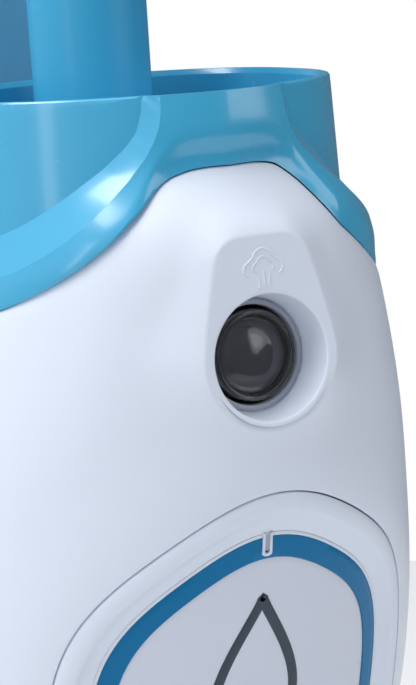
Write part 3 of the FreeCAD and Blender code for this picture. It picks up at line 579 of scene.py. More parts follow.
def make_front_shell():
    side = math.pi / 2
    turns = np.linspace(-side, side, 150)
    top_z = seam_height(turns)
    bottom = [(t * TURN_SCALE, BODY_BOTTOM) for t in np.linspace(-side, side, 90)]
    top = [(t * TURN_SCALE, z) for t, z in zip(turns, top_z)][::-1]
    left_side = [(-side * TURN_SCALE, z) for z in np.arange(432, 151, -2.4)]
    right_side = [(side * TURN_SCALE, z) for z in np.arange(152.4, 432, 2.4)]
    outline = bottom + right_side + top + left_side

    def in_plane(x, z):
        return turn_at(x, z) * TURN_SCALE, z

    hex_x, hex_z = hexagon_loop(BEZEL_R + 1.1)
    hex_loop = list(zip(*in_plane(hex_x, hex_z)))
    angles = full_turn(120)
    hole_r = MOUTH_R + 1.0
    hole_x = hole_r * np.cos(angles)
    hole_z = FACE_Z + hole_r * np.sin(angles) * math.cos(FACE_TILT)
    hole_loop = list(zip(*in_plane(hole_x, hole_z)))

    points = list(outline)
    edges = [(k, (k + 1) % len(outline)) for k in range(len(outline))]
    for loop in (hex_loop, hole_loop):
        start = len(points)
        points += loop
        edges += [(start + k, start + (k + 1) % len(loop)) for k in range(len(loop))]

    ring_points = []
    for distance in (-0.9, -0.45, 0.0, 0.5, 1.0, 1.6, 2.4):
        for angle in full_turn(150):
            low, high = 2.0, 60.0
            direction = (math.sin(angle), math.cos(angle))
            for _ in range(28):
                mid = 0.5 * (low + high)
                if boss_distance(mid * direction[0], mid * direction[1]) < distance:
                    low = mid
                else:
                    high = mid
            x, v = low * direction[0], low * direction[1]
            ring_points.append((x, FACE_Z + v * math.cos(FACE_TILT)))
    ring_points = np.array(ring_points)
    ring_u, ring_z = in_plane(ring_points[:, 0], ring_points[:, 1])

    rows = []
    for row, z in enumerate(np.arange(151.6, 465.0, 1.9)):
        shift = 1.05 * (row % 2)
        s = np.arange(-side * TURN_SCALE + 1.6 + shift, side * TURN_SCALE - 1.4, 2.1)
        rows.append(np.stack([s, np.full_like(s, z)], 1))
    grid = np.concatenate(rows)
    turn = grid[:, 0] / TURN_SCALE
    limit = np.interp(turn, turns, top_z)
    z = grid[:, 1]
    x = body_point(turn, z)[0]
    from_badge, hex_here = badge_reach(x, z)
    boss = boss_distance(x, (z - FACE_Z) / math.cos(FACE_TILT))
    from_hole = np.hypot(x, (z - FACE_Z) / math.cos(FACE_TILT))
    keep = (z < limit - 1.3) & (from_badge > hex_here + 1.0) & (from_hole > hole_r + 0.9)
    keep &= ~((boss > -1.6) & (boss < 3.1))
    grid = grid[keep]

    edge_rows = []
    for inset in (0.35, 0.8, 1.3):
        edge_rows.append(np.stack([turns[1:-1] * TURN_SCALE, top_z[1:-1] - inset * 1.2], 1))
    extra = np.concatenate([grid] + edge_rows + [np.stack([ring_u, ring_z], 1)])
    every = [Vector(p) for p in points] + [Vector(p) for p in extra.tolist()]
    result = delaunay_2d_cdt(every, edges, [], 2, 0.01)
    flat = np.array([tuple(p) for p in result[0]])
    triangles = [tuple(face) for face in result[2]]
    turn = flat[:, 0] / TURN_SCALE
    z = flat[:, 1]
    x, y_side = body_point(turn, z)
    kept = []
    for face in triangles:
        centre_x = sum(x[k] for k in face) / 3
        centre_z = sum(z[k] for k in face) / 3
        away, limit_r = badge_reach(centre_x, centre_z)
        if away < limit_r - 0.05:
            continue
        if math.hypot(centre_x, (centre_z - FACE_Z) / math.cos(FACE_TILT)) < hole_r - 0.05:
            continue
        kept.append(face)
    blend = ease((np.abs(turn) - 1.15) / 0.2)
    y = y_side * blend + shell_y(np.where(blend >= 1, 0, x), z) * (1 - blend)
    outside = np.stack([x, y, z], 1)
    skin = (outside, [face[::-1] for face in kept])

    parts = [skin]
    lip = []
    for inset, sink in ((0.0, 0.0), (0.35, 0.02), (0.6, 0.12), (0.75, 0.35), (0.8, 0.8), (0.8, 4.5)):
        ring_x, ring_z = hexagon_loop(BEZEL_R + 1.1 - inset)
        ring_y = shell_y(ring_x, ring_z) + sink
        lip.append(np.stack([ring_x, ring_y, ring_z], 1))
    parts.append(skin_rings(lip))

    funnel = rounded([
        (hole_r, 0.0), (MOUTH_R - 0.15, 0.0), (SEAT_R + 0.1, -SEAT_DEPTH + 0.1),
        (SEAT_R - 1.4, -SEAT_DEPTH),
    ], (0, 1.1, 0.4, 0), 6)
    funnel_points, funnel_faces = skin_rings(turned(funnel, 120))
    parts.append((moved(funnel_points, FACE_MATRIX), funnel_faces))

    rim = []
    rim_x, rim_y = body_point(turns, top_z)
    top_y = np.where(np.abs(turns) > 1.2, rim_y, shell_y(rim_x, top_z))
    inward = np.stack([-np.sin(turns), np.cos(turns)], 1)
    for sink, drop in ((0.0, 0.0), (0.5, -0.12), (2.2, -0.1), (2.2, 8.0)):
        rim.append(np.stack([rim_x + inward[:, 0] * sink, top_y + inward[:, 1] * sink, top_z - drop], 1))
    parts.append(skin_rings(rim, closed=False))
    points, faces = join_parts(parts)
    piece = make_piece("front_shell_skin", points, faces, WHITE, "upright", ["front_shell"])
    weld(piece, 0.00004)


def weld(piece, distance):
    """Joins points that lie together, and turns all faces outward."""
    work = bmesh.new()
    work.from_mesh(piece.data)
    bmesh.ops.remove_doubles(work, verts=work.verts, dist=distance)
    bmesh.ops.dissolve_degenerate(work, edges=work.edges, dist=0.000002)
    bmesh.ops.recalc_face_normals(work, faces=work.faces)
    work.to_mesh(piece.data)
    work.free()
    piece.data.polygons.foreach_set("use_smooth", [True] * len(piece.data.polygons))
    piece.data.set_sharp_from_angle(angle=math.radians(38))


def shelf_reach(z):
    """How far the tank's shelf swells out of the rear shell at this height."""
    return spline((286.0, 305.0, 325.0, 347.0, 358.0), (42.0, 50.5, 62.0, 77.0, 80.5))(z)


def make_rear_shell():
    top_z = SEAM[-1, 1]
    heights = np.concatenate([np.arange(BODY_BOTTOM, 357.0, 2.4), [357.6, 358.0]])
    upper = np.concatenate([[358.0], np.arange(360.0, 432.0, 2.4), [top_z - 0.4, top_z]])
    turns = np.linspace(math.pi / 2, 3 * math.pi / 2, 121)
    rings = []
    for z in heights:
        x, y = body_point(turns, np.full_like(turns, z))
        if z > 284:
            width = spline((284.0, 325.0, 347.0, 358.0), (15.0, 33.0, 38.5, 39.5))(z)
            back = shelf_reach(z)
            across = np.clip(np.abs(x) / width, 0, 1)
            bulge = 6.0 + (back - 6.0) * (1 - across ** 3.0) ** (1 / 3.0)
            soft = 3.0
            y = soft * np.logaddexp(y / soft, np.where(across < 1, bulge, -60.0) / soft)
            y = np.minimum(y, SHELF_BACK)
        rings.append(np.stack([x, y, np.full_like(x, z)], 1))
    lower_part = skin_rings(rings, closed=False)

    wall_rows = []
    side_rows = {-1: [], 1: []}
    for z in upper:
        for side in (-1, 1):
            limit = math.pi / 2 + 0.02
            span = np.linspace(math.pi / 2, math.pi, 400)
            x, y = body_point(span, np.full_like(span, z))
            cut = np.interp(-BAY_HALF - 1.0, -x, span) if x.max() > BAY_HALF + 1 else limit
            turns_here = np.linspace(math.pi / 2, cut, 40)
            px, py = body_point(turns_here, np.full_like(turns_here, z))
            tail_x = np.array([BAY_HALF + 0.55, BAY_HALF + 0.1, BAY_HALF, BAY_HALF, BAY_HALF])
            last_y = py[-1]
            tail_y = np.array([last_y + 0.15, last_y - 0.35, last_y - 1.0, BAY_FRONT + 0.6, BAY_FRONT])
            row_x = side * np.concatenate([px, tail_x])
            row_y = np.concatenate([py, np.maximum(tail_y, BAY_FRONT)])
            side_rows[side].append(np.stack([row_x, row_y, np.full_like(row_x, z)], 1))
        back_x = np.linspace(-BAY_HALF, BAY_HALF, 24)
        wall_rows.append(np.stack([back_x, np.full(24, BAY_FRONT), np.full(24, z)], 1))
    parts = [lower_part, skin_rings(wall_rows, closed=False)]
    for side in (-1, 1):
        parts.append(skin_rings(side_rows[side], closed=False))
    floor_ring = rings[-1]
    inner = floor_ring.copy()
    inner[:, 0] = np.clip(floor_ring[:, 0], -BAY_HALF, BAY_HALF)
    inner[:, 1] = np.maximum(np.minimum(floor_ring[:, 1] - 1.2, 79.0), BAY_FRONT)
    base = np.stack([inner[:, 0], np.full(len(inner), BAY_FRONT), inner[:, 2]], 1)
    parts.append(skin_rings([floor_ring, inner, base], closed=False))
    points, faces = join_parts(parts)
    piece = make_piece("rear_shell_skin", points, faces, WHITE, "upright", ["rear_shell"])
    weld(piece, 0.00004)


# ------------------------------------------------------------------ collar
COLLAR_KEYS = np.array([
    # share, seam x, lower crease x and z, upper crease x and z, rim x
    (0.00, 0.0, 0.0, 480.0, 0.0, 480.0, 0.0),
    (0.10, 7.5, 7.6, 480.0, 7.6, 480.0, 7.6),
    (0.20, 13.0, 15.0, 480.0, 15.0, 480.0, 15.0),
    (0.25, 15.0, 15.2, 477.0, 17.7, 480.0, 17.7),
    (0.30, 16.5, 15.9, 473.5, 18.3, 476.0, 19.0),
    (0.36, 18.5, 17.2, 470.3, 19.6, 472.0, 21.5),
    (0.42, 20.5, 19.2, 466.9, 22.2, 468.8, 24.0),
    (0.50, 24.5, 23.5, 462.3, 26.5, 464.8, 28.0),
    (0.60, 29.5, 28.4, 458.1, 31.5, 460.8, 32.5),
    (0.70, 35.0, 33.5, 453.9, 36.6, 456.7, 37.0),
    (0.80, 41.0, 39.2, 449.4, 41.8, 452.7, 41.5),
    (0.90, 48.5, 46.5, 443.6, 47.3, 449.0, 45.5),
    (1.00, 57.4, 55.2, 438.0, 50.2, 446.0, 49.0),
])
LOW_CREASE_Z = 438.0
HIGH_CREASE_Z = 446.0
PANEL_STEP = 2.3
CUP_HALF = 49.0
CUP_FRONT = -69.4
CUP_BACK = 29.4


def cup_point(u, z, inset=0.0):
    """The cup's wall: the rim's plan, spreading slightly downward."""
    spread_down = (RIM_Z - z) * 0.06
    front = CUP_FRONT - spread_down
    half = CUP_HALF + 0.6 * spread_down - inset
    middle = front + MIDDLE_SHARE * (CUP_BACK - front)
    cosine = np.cos(u)
    depth = np.where(cosine > 0, middle - front, CUP_BACK - middle) - inset
    x = half * signed_power(np.sin(u), 2 / 1.6)
    y = middle - depth * signed_power(cosine, 2 / 2.6)
    return x, y


def cup_front_y(x, z, inset=0.0):
    spread_down = (RIM_Z - z) * 0.06
    half = CUP_HALF + 0.6 * spread_down - inset
    share = np.clip(np.abs(x) / half, 0, 1) ** 0.8
    return cup_point(np.arcsin(share), z, inset)[1]


def between(first, second, count, start=0.0, stop=1.0):
    shares = np.linspace(start, stop, count)
    return [first + (second - first) * t for t in shares]


def make_collar(side):
    share = np.linspace(0, 1, 161)
    keys = COLLAR_KEYS
    seam_x, low_x, low_z, up_x, up_z, rim_x = [np.interp(share, keys[:, 0], keys[:, k]) for k in range(1,
            7)]
    kernel = np.array([1, 2, 3, 2, 1], float) / 9

    def calm(values):
        padded_values = np.concatenate([2 * values[0] - values[1:5][::-1], values,
                                        2 * values[-1] - values[-5:-1][::-1]])
        padded_values = np.convolve(padded_values, kernel, "same")
        out = padded_values[4:-4]
        out[0] = values[0]
        out[-1] = values[-1]
        return out

    seam_x, low_x, up_x, rim_x = [calm(v) for v in (seam_x, low_x, up_x, rim_x)]
    low_z = np.minimum(calm(low_z), RIM_Z)
    up_z = np.minimum(calm(up_z), RIM_Z)
    seam_z = seam_at(side * seam_x) + SEAM_GAP
    rim_step = PANEL_STEP * (1 - ease((share - 0.2) / 0.05))
    rim_turn = np.arcsin(np.clip(rim_x / CUP_HALF, 0, 1) ** 0.8)
    rim_y = cup_point(rim_turn, np.full_like(rim_turn, RIM_Z))[1] - rim_step
    rim_x = cup_point(rim_turn, np.full_like(rim_turn, RIM_Z))[0]
    up_y = cup_front_y(up_x, up_z) - rim_step
    low_y = panel_y(low_x, low_z)

    lower = np.stack([low_x, low_y, low_z], 1)
    upper = np.stack([up_x, up_y, up_z], 1)

    def on_body(t):
        x = seam_x + (low_x - seam_x) * t
        z = seam_z + (low_z - seam_z) * t
        return np.stack([x, panel_y(x, z), z], 1)

    def on_cup(t):
        x = up_x + (rim_x - up_x) * t
        z = up_z + (RIM_Z - up_z) * t
        y = np.where(t >= 1, rim_y, cup_front_y(x, z) - rim_step)
        return np.stack([x, y, z], 1)

    strip = [on_body(t) for t in np.linspace(0, 1, 12)]
    strip[0][:, 1] += 0.25
    ledge = between(lower, upper, 6)[1:]
    cup = [on_cup(t) for t in np.linspace(0, 1, 12)][1:]
    columns = strip + ledge + cup
    if side < 0:
        for row in columns:
            row[:, 0] *= -1
    return columns


def panel_y(x, z):
    """The collar's front panel stands out of the cup toward the rim."""
    return front_y(x, z) - PANEL_STEP * ease((z - seam_at(x) - 0.5) / 8.0)


def build_collar():
    front_rows = []
    for left, right in zip(make_collar(-1), make_collar(1)):
        front_rows.append(np.concatenate([left[1:][::-1], right]))
    rear_turns = np.linspace(math.pi / 2, 3 * math.pi / 2, 161)
    seam_z = SEAM[-1, 1] + SEAM_GAP
    rear_rows = []
    for t in np.linspace(0, 1, 12):
        z = np.full_like(rear_turns, seam_z + (LOW_CREASE_Z - seam_z) * t)
        x, y = body_point(rear_turns, z)
        rear_rows.append(np.stack([x, y, z], 1))
    last = rear_rows[-1]
    x, y = cup_point(rear_turns, np.full_like(rear_turns, HIGH_CREASE_Z))
    ledge_end = np.stack([x, y, np.full_like(x, HIGH_CREASE_Z)], 1)
    rear_rows += between(last, ledge_end, 6)[1:]
    for t in np.linspace(0, 1, 12)[1:]:
        z = np.full_like(rear_turns, HIGH_CREASE_Z + (RIM_Z - HIGH_CREASE_Z) * t)
        x, y = cup_point(rear_turns, z)
        rear_rows.append(np.stack([x, y, z], 1))
    for row in rear_rows:
        in_bay = np.abs(row[:, 0]) < BAY_HALF
        row[:, 1] = np.where(in_bay, np.minimum(row[:, 1], BAY_FRONT), row[:, 1])
    rows = []
    for front_row, rear_row in zip(front_rows, rear_rows):
        rows.append(np.concatenate([front_row, rear_row[1:-1]]))

    top = rows[-1]
    lip = []
    for inset, drop in ((0.0, 0.9), (0.12, 0.45), (0.4, 0.12), (0.8, 0.0), (1.3, 0.0), (1.5, 0.1),
                        (2.3, 1.1), (2.5, 1.4), (2.6, 2.2), (2.9, 14.0), (3.2, 30.0)):
        ring = top.copy()
        outward = ring_normals(top)
        ring[:, :2] -= outward * inset
        ring[:, 2] -= drop
        lip.append(ring)
    rows = rows[:-1] + lip
    points, faces = skin_rings(rows)
    under = rows[0].copy()
    outward = ring_normals(under)
    tuck = []
    for inset, drop in ((0.5, 0.0), (2.4, 0.3), (2.4, -6.0)):
        ring = under.copy()
        ring[:, :2] -= outward * inset
        ring[:, 2] -= drop * 0.3
        tuck.append(ring)
    tuck_points, tuck_faces = skin_rings([under] + tuck)
    points, faces = join_parts([(points, faces), (tuck_points, tuck_faces)])
    piece = make_piece("collar_skin", points, faces, COLLAR_BLUE, "upright", ["collar"])
    weld(piece, 0.00003)
    piece.data.set_sharp_from_angle(angle=math.radians(15))


def ring_normals(ring):
    """Outward directions in plan round a closed ring."""
    ahead = np.roll(ring[:, :2], -1, 0)
    behind = np.roll(ring[:, :2], 1, 0)
    along = ahead - behind
    along /= np.maximum(np.linalg.norm(along, axis=1, keepdims=True), 1e-9)
    normal = np.stack([along[:, 1], -along[:, 0]], 1)
    centre = ring[:, :2].mean(0)
    if np.sum((ring[:, :2] - centre) * normal) < 0:
        normal = -normal
    return normal


# ------------------------------------------------------------------ badge
def badge_rows(stations):
    """Rings round the badge; a station is (radius, sink below the body's skin)."""
    rows = []
    for radius, sink in stations:
        x, z = hexagon_loop(radius)
        rows.append(np.stack([x, skin_y(x, z) + sink, z], 1))
    return rows


def make_badge():
    bezel = badge_rows((
        (BEZEL_R, 4.5), (BEZEL_R, 0.9), (BEZEL_R - 0.06, 0.5), (BEZEL_R - 0.25, 0.2), (BEZEL_R - 0.6, 0.04),
        (BEZEL_R - 1.4, -0.12), (BEZEL_R - 2.6, -0.2), (BEZEL_R - 3.8, -0.12), (BEZEL_R - 4.6, 0.1),
        (BEZEL_R - 5.1, 0.42), (BEZEL_R - 5.6, 0.95), (BEZEL_R - 7.2, 2.0), (RECESS_R + 1.4, 2.65),
        (RECESS_R + 0.4, 2.95), (RECESS_R, 3.15), (RECESS_R - 0.05, 4.6),
    ))
    joined_piece("badge_bezel_ring", [skin_rings(bezel)], WHITE, "upright", ["badge_bezel"])
    border = badge_rows(((RECESS_R - 0.08, 4.2), (RECESS_R - 0.08, BADGE_SINK + 0.1),
                         (RECESS_R - 0.3, BADGE_SINK), (RING_R - 0.1, BADGE_SINK), (RING_R - 0.15, 4.2)))
    joined_piece("badge_border", [skin_rings(border)], WHITE, "upright")
    ring = badge_rows(((RING_R - 0.15, 4.0), (RING_R - 0.15, BADGE_SINK + 0.2),
                       (RING_R - 0.4, BADGE_SINK + 0.02),
                       (RING_R - 2.2, BADGE_SINK - 0.05), (LABEL_R + 0.25, BADGE_SINK + 0.02),
                       (LABEL_R + 0.05, BADGE_SINK + 0.2), (LABEL_R + 0.05, 4.0)))
    joined_piece("badge_blue_ring", [skin_rings(ring)], BADGE_BLUE, "upright", ["badge_ring"])
    label_rows = [(LABEL_R, 4.0), (LABEL_R, BADGE_SINK + 0.35), (LABEL_R - 0.25, BADGE_SINK + 0.25)]
    label_rows += [(LABEL_R * t, BADGE_SINK + 0.25) for t in np.linspace(0.95, 0.02, 22)]
    joined_piece("badge_label_disc", [skin_rings(badge_rows(label_rows), cap_last=True)], LABEL, "upright",
                 ["badge_plate"])


def on_badge(x, z, rise):
    return np.stack([x, skin_y(x, z) + BADGE_SINK + 0.25 - rise, z], -1)


def make_notch():
    """The small key slot at the top of the blue ring."""
    top = hexagon_radius(math.pi / 2, RING_R)
    half = 0.62
    outline = [(-half, top + 0.6)]
    for turn in np.linspace(math.pi, 2 * math.pi, 13):
        outline.append((half * math.cos(turn), top - 3.6 + half * math.sin(turn)))
    outline.append((half, top + 0.6))
    x = np.array([p[0] for p in outline])
    z = BADGE_Z + np.array([p[1] for p in outline])
    base = skin_y(x, z)
    rows = []
    for grow, sink in ((0.0, BADGE_SINK + 0.3), (0.0, BADGE_SINK - 0.35), (0.12, BADGE_SINK - 0.5),
                       (0.5, BADGE_SINK - 0.5), (0.62, BADGE_SINK - 0.35), (0.62, BADGE_SINK + 0.3)):
        scale = 1 + grow / half
        rows.append(np.stack([x * scale, base + sink,
                              BADGE_Z + top - 3.6 + (z - BADGE_Z - top + 3.6) * (1 + grow * 0.2)
                              - grow * (z < BADGE_Z + top - 3.4)], 1))
    joined_piece("badge_key_wall", [skin_rings(rows, closed=False)], WHITE, "upright")
    floor_x = np.linspace(-half, half, 6)
    floor_rows = []
    for height in np.linspace(top + 0.4, top - 3.6, 8):
        z_row = np.full(6, BADGE_Z + height)
        floor_rows.append(np.stack([floor_x, skin_y(floor_x, z_row) + BADGE_SINK - 0.12, z_row], 1))
    joined_piece("badge_key_floor", [skin_rings(floor_rows, closed=False)], TRIM, "upright")


def make_emblem():
    """A generic emblem: a water drop over three steam waves."""
    parts = []
    turns = full_turn(72)
    drop_x = 15.0 * np.sin(turns) * np.sin(turns / 2) ** 1.4
    drop_z = BADGE_Z + 13.0 + 19.0 * np.cos(turns)
    loop = on_badge(drop_x, drop_z, 0.0)
    parts.append(ribbon_loop(loop, 1.3))
    for level in range(3):
        t = np.linspace(-1, 1, 40)
        wave_x = t * (19.0 - 3.0 * level)
        wave_z = BADGE_Z - 14.0 - 6.4 * level + 1.9 * np.sin(t * math.pi * 1.5)
        parts.append(ribbon_line(wave_x, wave_z, 1.1))
    joined_piece("badge_emblem_mark", parts, SLATE, "upright", ["badge_emblem"])


def ribbon_rows(x, z, half, closed):
    ahead_x = np.roll(x, -1) - np.roll(x, 1) if closed else np.gradient(x)
    ahead_z = np.roll(z, -1) - np.roll(z, 1) if closed else np.gradient(z)
    length = np.maximum(np.hypot(ahead_x, ahead_z), 1e-9)
    side_x = -ahead_z / length
    side_z = ahead_x / length
    rows = []
    for across, rise in ((-1.0, -0.3), (-1.0, 0.10), (-0.8, 0.2), (0.8, 0.2), (1.0, 0.10), (1.0, -0.3)):
        px = x + side_x * half * across
        pz = z + side_z * half * across
        rows.append(on_badge(px, pz, rise))
    return skin_rings(rows, closed=closed)


def ribbon_loop(loop, half):
    return ribbon_rows(loop[:, 0], loop[:, 2], half, True)


def ribbon_line(x, z, half):
    return ribbon_rows(x, z, half, False)


# ------------------------------------------------------------------ steam icon and button
def make_icon():
    """A raised steam cloud over three stems, on the button's face."""
    def arc(cx, cy, r, start, stop, count=14):
        turns = np.radians(np.linspace(start, stop, count))
        return [(cx + r * math.cos(t), cy + r * math.sin(t)) for t in turns]

    outer = (arc(-3.3, 19.7, 1.55, 262, 115) + arc(0.0, 21.7, 2.35, 165, 15) + arc(3.3, 19.7, 1.55, 65,
            -82))
    inner = (arc(-1.85, 19.9, 0.8, 255, 125, 9) + arc(0.0, 20.9, 1.35, 160, 20, 12) + arc(1.85, 19.9, 0.8,
            55, -75, 9))
    stems = [[(0.0, 15.6), (0.0, 17.0), (0.0, 19.2)]]
    for side in (-1, 1):
        stems.append([(side * 1.75, 15.5), (side * 1.2, 15.7), (side * 1.25, 17.2), (side * 1.5, 18.3)])
    parts = []
    for line in [outer, inner] + stems:
        dense = resample(np.array(line), 0.35)
        path = np.stack([dense[:, 0], dense[:, 1], np.full(len(dense), -0.02)], 1)
        parts.append(tube_along(path, 0.22, 8))
    points, faces = join_parts(parts)
    make_piece("steam_icon_lines", moved(points, FACE_MATRIX), faces, WHITE, "upright")


def resample(line, step):
    lengths = np.concatenate([[0], np.cumsum(np.linalg.norm(np.diff(line, axis=0), axis=1))])
    count = max(3, int(lengths[-1] / step))
    at = np.linspace(0, lengths[-1], count)
    return np.stack([np.interp(at, lengths, line[:, k]) for k in range(line.shape[1])], 1)


def make_button():
    well_ring = rounded([(SEAT_R - 0.25, -SEAT_DEPTH - 1.0), (SEAT_R - 0.25, -SEAT_DEPTH + 0.9),
                         (SEAT_R - 1.5, -SEAT_DEPTH + 0.9), (SEAT_R - 1.7, -SEAT_DEPTH - 3.0)],
                         (0, 0.5, 0.4, 0), 5)
    lathe_piece("well_trim", well_ring, FACE_MATRIX, TRIM, "upright", ["well_ring"])
    well = rounded([(SEAT_R - 1.75, -SEAT_DEPTH - 0.4), (SEAT_R - 1.8, -22.0), (3.4, -22.4)], (0, 1.0, 0),
                   4)
    lathe_piece("well_inside", well, FACE_MATRIX, DARK, "upright", ["button_well"])
    rim = rounded([
        (CAP_R, -17.5), (CAP_R, -CAP_DEPTH - 0.2), (CAP_R - 0.9, -CAP_DEPTH + 0.1), (8.7, -CAP_DEPTH - 0.9),
        (8.2, -CAP_DEPTH - 1.9), (7.6, -CAP_DEPTH - 1.2), (5.0, -CAP_DEPTH - 0.1),
        (0.02, -CAP_DEPTH + 0.35),
    ], (0, 0.7, 0.8, 0.8, 0.6, 0.9, 2.0, 0), 6)
    inner = [(0.02, -CAP_DEPTH - 1.7), (5.0, -CAP_DEPTH - 2.0), (8.5, -CAP_DEPTH - 2.6), (8.7, -17.5),
             (CAP_R, -17.5)]
    lathe_piece("button_cap_clear", list(rim) + inner, FACE_MATRIX, CLEAR, "button",
                ["button_cap"], sharp=50.0)
    core = rounded([(0.02, -CAP_DEPTH - 2.6), (6.0, -CAP_DEPTH - 2.9), (8.2, -CAP_DEPTH - 3.4),
                    (8.3, -16.5),
                    (2.6, -16.5), (2.6, -23.8), (0.02, -24.0)], (0, 1.5, 0.5, 0.4, 0.3, 0.3, 0), 5)
    lathe_piece("button_core_lens", core, FACE_MATRIX, LENS_DARK, "button", ["button_core"])


# ------------------------------------------------------------------ column and inside of the cup
UPRIGHT = Matrix.Identity(4)


def make_column():
    low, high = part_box("column")
    z0, z1 = low.z / MM, high.z / MM
    profile = [(COLUMN_R + 0.12, z0)]
    for z in np.linspace(z0, 520, 14)[1:]:
        profile.append((COLUMN_R + 0.12 * (1 - (z - z0) / (520 - z0)), z))
    profile += rounded([(COLUMN_R, 520.0), (COLUMN_R, z1 - 0.02), (COLUMN_R - 2.0, z1 - 0.02),
                        (COLUMN_R - 2.0, z0)],
                       (0, 0.5, 0.4, 0), 4)
    lathe_piece("column_tube", profile, UPRIGHT, BLUE, "upright", ["column"], steps=120)


def make_cup_inside():
    """Ribs and a pocket on the cup's back wall, beside the column."""
    parts = []
    for side in (-1, 1):
        for x0, x1, y0, y1 in ((17.5, 20.0, 19.0, 27.4), (27.5, 29.0, 20.0, 25.8)):
            corners = np.array([(x0, y0), (x1, y0), (x1, y1), (x0, y1)])
            rings = []
            for z in (DECK_TOP, 474.5, 475.0):
                shrink = 0.3 if z == 475.0 else 0.0
                ring = corners.copy()
                ring[:, 0] += np.array([shrink, -shrink, -shrink, shrink])
                rings.append(np.stack([ring[:, 0] * side, ring[:, 1], np.full(4, z)], 1))
            parts.append(skin_rings(rings, cap_first=True, cap_last=True))
    joined_piece("cup_ribs", parts, COLLAR_BLUE, "upright")
    spot = [(0.02, 0.9), (3.0, 0.9), (3.6, 0.4), (3.7, 0.0)]
    matrix = Matrix.Translation((33.0, 8.0, 470.6)) @ Matrix.Rotation(math.radians(-64), 4, "Y")
    lathe_piece("cup_seal_button", spot, matrix, SILICONE, "upright", steps=32)


# ------------------------------------------------------------------ water tank
def tank_ring(z, half, front, back, count=96):
    turns = full_turn(count)
    middle = 0.5 * (front + back)
    x = half * signed_power(np.sin(turns), 2 / 3.4)
    y = middle - (back - front) / 2 * signed_power(np.cos(turns), 2 / 3.4)
    return np.stack([x, y, np.full(count, z)], 1)


def make_tank():
    stations = ((360.3, 30.0, 38.0, 70.5), (360.6, 32.5, 36.0, 73.6), (362.5, 34.2, 34.4, 75.6),
                (366.0, 34.7, 33.8, 76.6), (395.0, 35.6, 33.6, 78.4), (430.0, 36.0, 33.6, 79.0),
                (500.0, 36.0, 33.6, 79.0), (530.0, 35.4, 33.6, 77.6), (554.0, 34.1, 33.7, 75.1),
                (556.0, 34.0, 33.8, 75.0))
    outer = [tank_ring(*s) for s in stations]
    inner = [tank_ring(z, half - 2, front + 2, back - 2) for z, half, front, back in stations[::-1][:-3]]
    inner.append(tank_ring(363.0, 30.0, 38.5, 70.0))
    joined_piece("tank_wall_clear", [skin_rings(outer + inner, cap_first=True, cap_last=True)], TANK,
                 "tank", ["tank_shell"])


# ------------------------------------------------------------------ floor head
def head_ring(z, inset=0.0, count=256):
    """The floor head's plan at a height, shrunk by inset."""
    turns = full_turn(count)
    sine = np.sin(turns)
    middle = -3.0
    x = (145.0 - inset) * signed_power(np.cos(turns), 0.62)
    depth = np.where(sine > 0, 82.0 - middle, middle + 100.0) - inset
    y = middle + depth * signed_power(sine, np.where(sine > 0, 0.66, 0.86))
    return np.stack([x, y, np.full(count, z)], 1)


def cut_away(piece, rings, sharp):
    """Takes the closed shape of these rings out of the piece."""
    points, faces = skin_rings(rings, cap_first=True, cap_last=True)
    mesh = bpy.data.meshes.new("cutter")
    mesh.from_pydata((points * MM).tolist(), [], faces)
    cutter = bpy.data.objects.new("cutter", mesh)
    bpy.context.scene.collection.objects.link(cutter)
    cut = piece.modifiers.new("pocket", "BOOLEAN")
    cut.operation = "DIFFERENCE"
    cut.solver = "EXACT"
    cut.object = cutter
    bake_mesh(piece)
    bpy.data.objects.remove(cutter)
    piece.data.polygons.foreach_set("use_smooth", [True] * len(piece.data.polygons))
    piece.data.set_sharp_from_angle(angle=math.radians(sharp))


def make_head_cover():
    levels = ((15.2, 12.0), (15.2, 1.4), (15.35, 0.5), (15.9, 0.1), (17.5, 0.0), (19.6, 0.15), (21.0, 0.7),
              (22.4, 2.0), (24.2, 4.2), (26.4, 7.2), (28.2, 10.4), (30.0, 15.0), (31.5, 20.6), (32.5, 26.0),
              (33.0, 31.5), (33.2, 40.0), (33.3, 52.0), (33.3, 66.0))
    cover_points, cover_faces = skin_rings([head_ring(*level) for level in levels], cap_first=True,
                                           cap_last=True)
    piece = make_piece("head_cover_skin", cover_points, cover_faces, WHITE, "head",
                       ["head_cover"])
    cut_away(piece, pillow_rings(-17.6, 17.6, -8.5, 34.0, 25.4, 60.0, 3.0, 40), 30.0)

    outline = []
    for t in np.linspace(0, 1, 10):
        outline.append((-24.0 + 9.5 * ease(t), 31.5 + 8.5 * t ** 1.6))
    for turn in np.linspace(math.pi, 0, 40)[1:-1]:
        outline.append((14.5 * math.cos(turn), 40.0 + 14.5 * math.sin(turn)))
    for t in np.linspace(1, 0, 10):
        outline.append((24.0 - 9.5 * ease(t), 31.5 + 8.5 * t ** 1.6))
    outline = np.array(outline)
    parts = []
    for side in (-1, 1):
        rings = []
        for x, shrink in ((17.7, 1.0), (17.8, 0.45), (18.1, 0.12), (18.6, 0.0), (28.0, 0.0), (28.5, 0.12),
                          (28.8, 0.45), (28.9, 1.0)):
            scale = 1 - shrink / 24.0
            y = 10.0 + outline[:, 0] * scale
            z = 36.0 + (outline[:, 1] - 36.0) * scale
            rings.append(np.stack([np.full(len(y), x * side), y, z], 1))
        parts += open_with_ends(rings)
    joined_piece("head_hinge_ears", parts, WHITE, "head")
    cap = rounded([(6.4, -0.4), (6.4, 0.7), (2.4, 0.9), (2.2, 0.5), (0.02, 0.5)], (0, 0.5, 0.15, 0.1, 0), 4)
    for side in (-1, 1):
        matrix = Matrix.Translation((side * 28.6, PITCH_Y, PITCH_Z)) @ Matrix.Rotation(side * math.pi / 2,
                4, "Y")
        lathe_piece("hinge_cap_" + ("left" if side < 0 else "right"), cap, matrix, TRIM, "head",
                    steps=48)


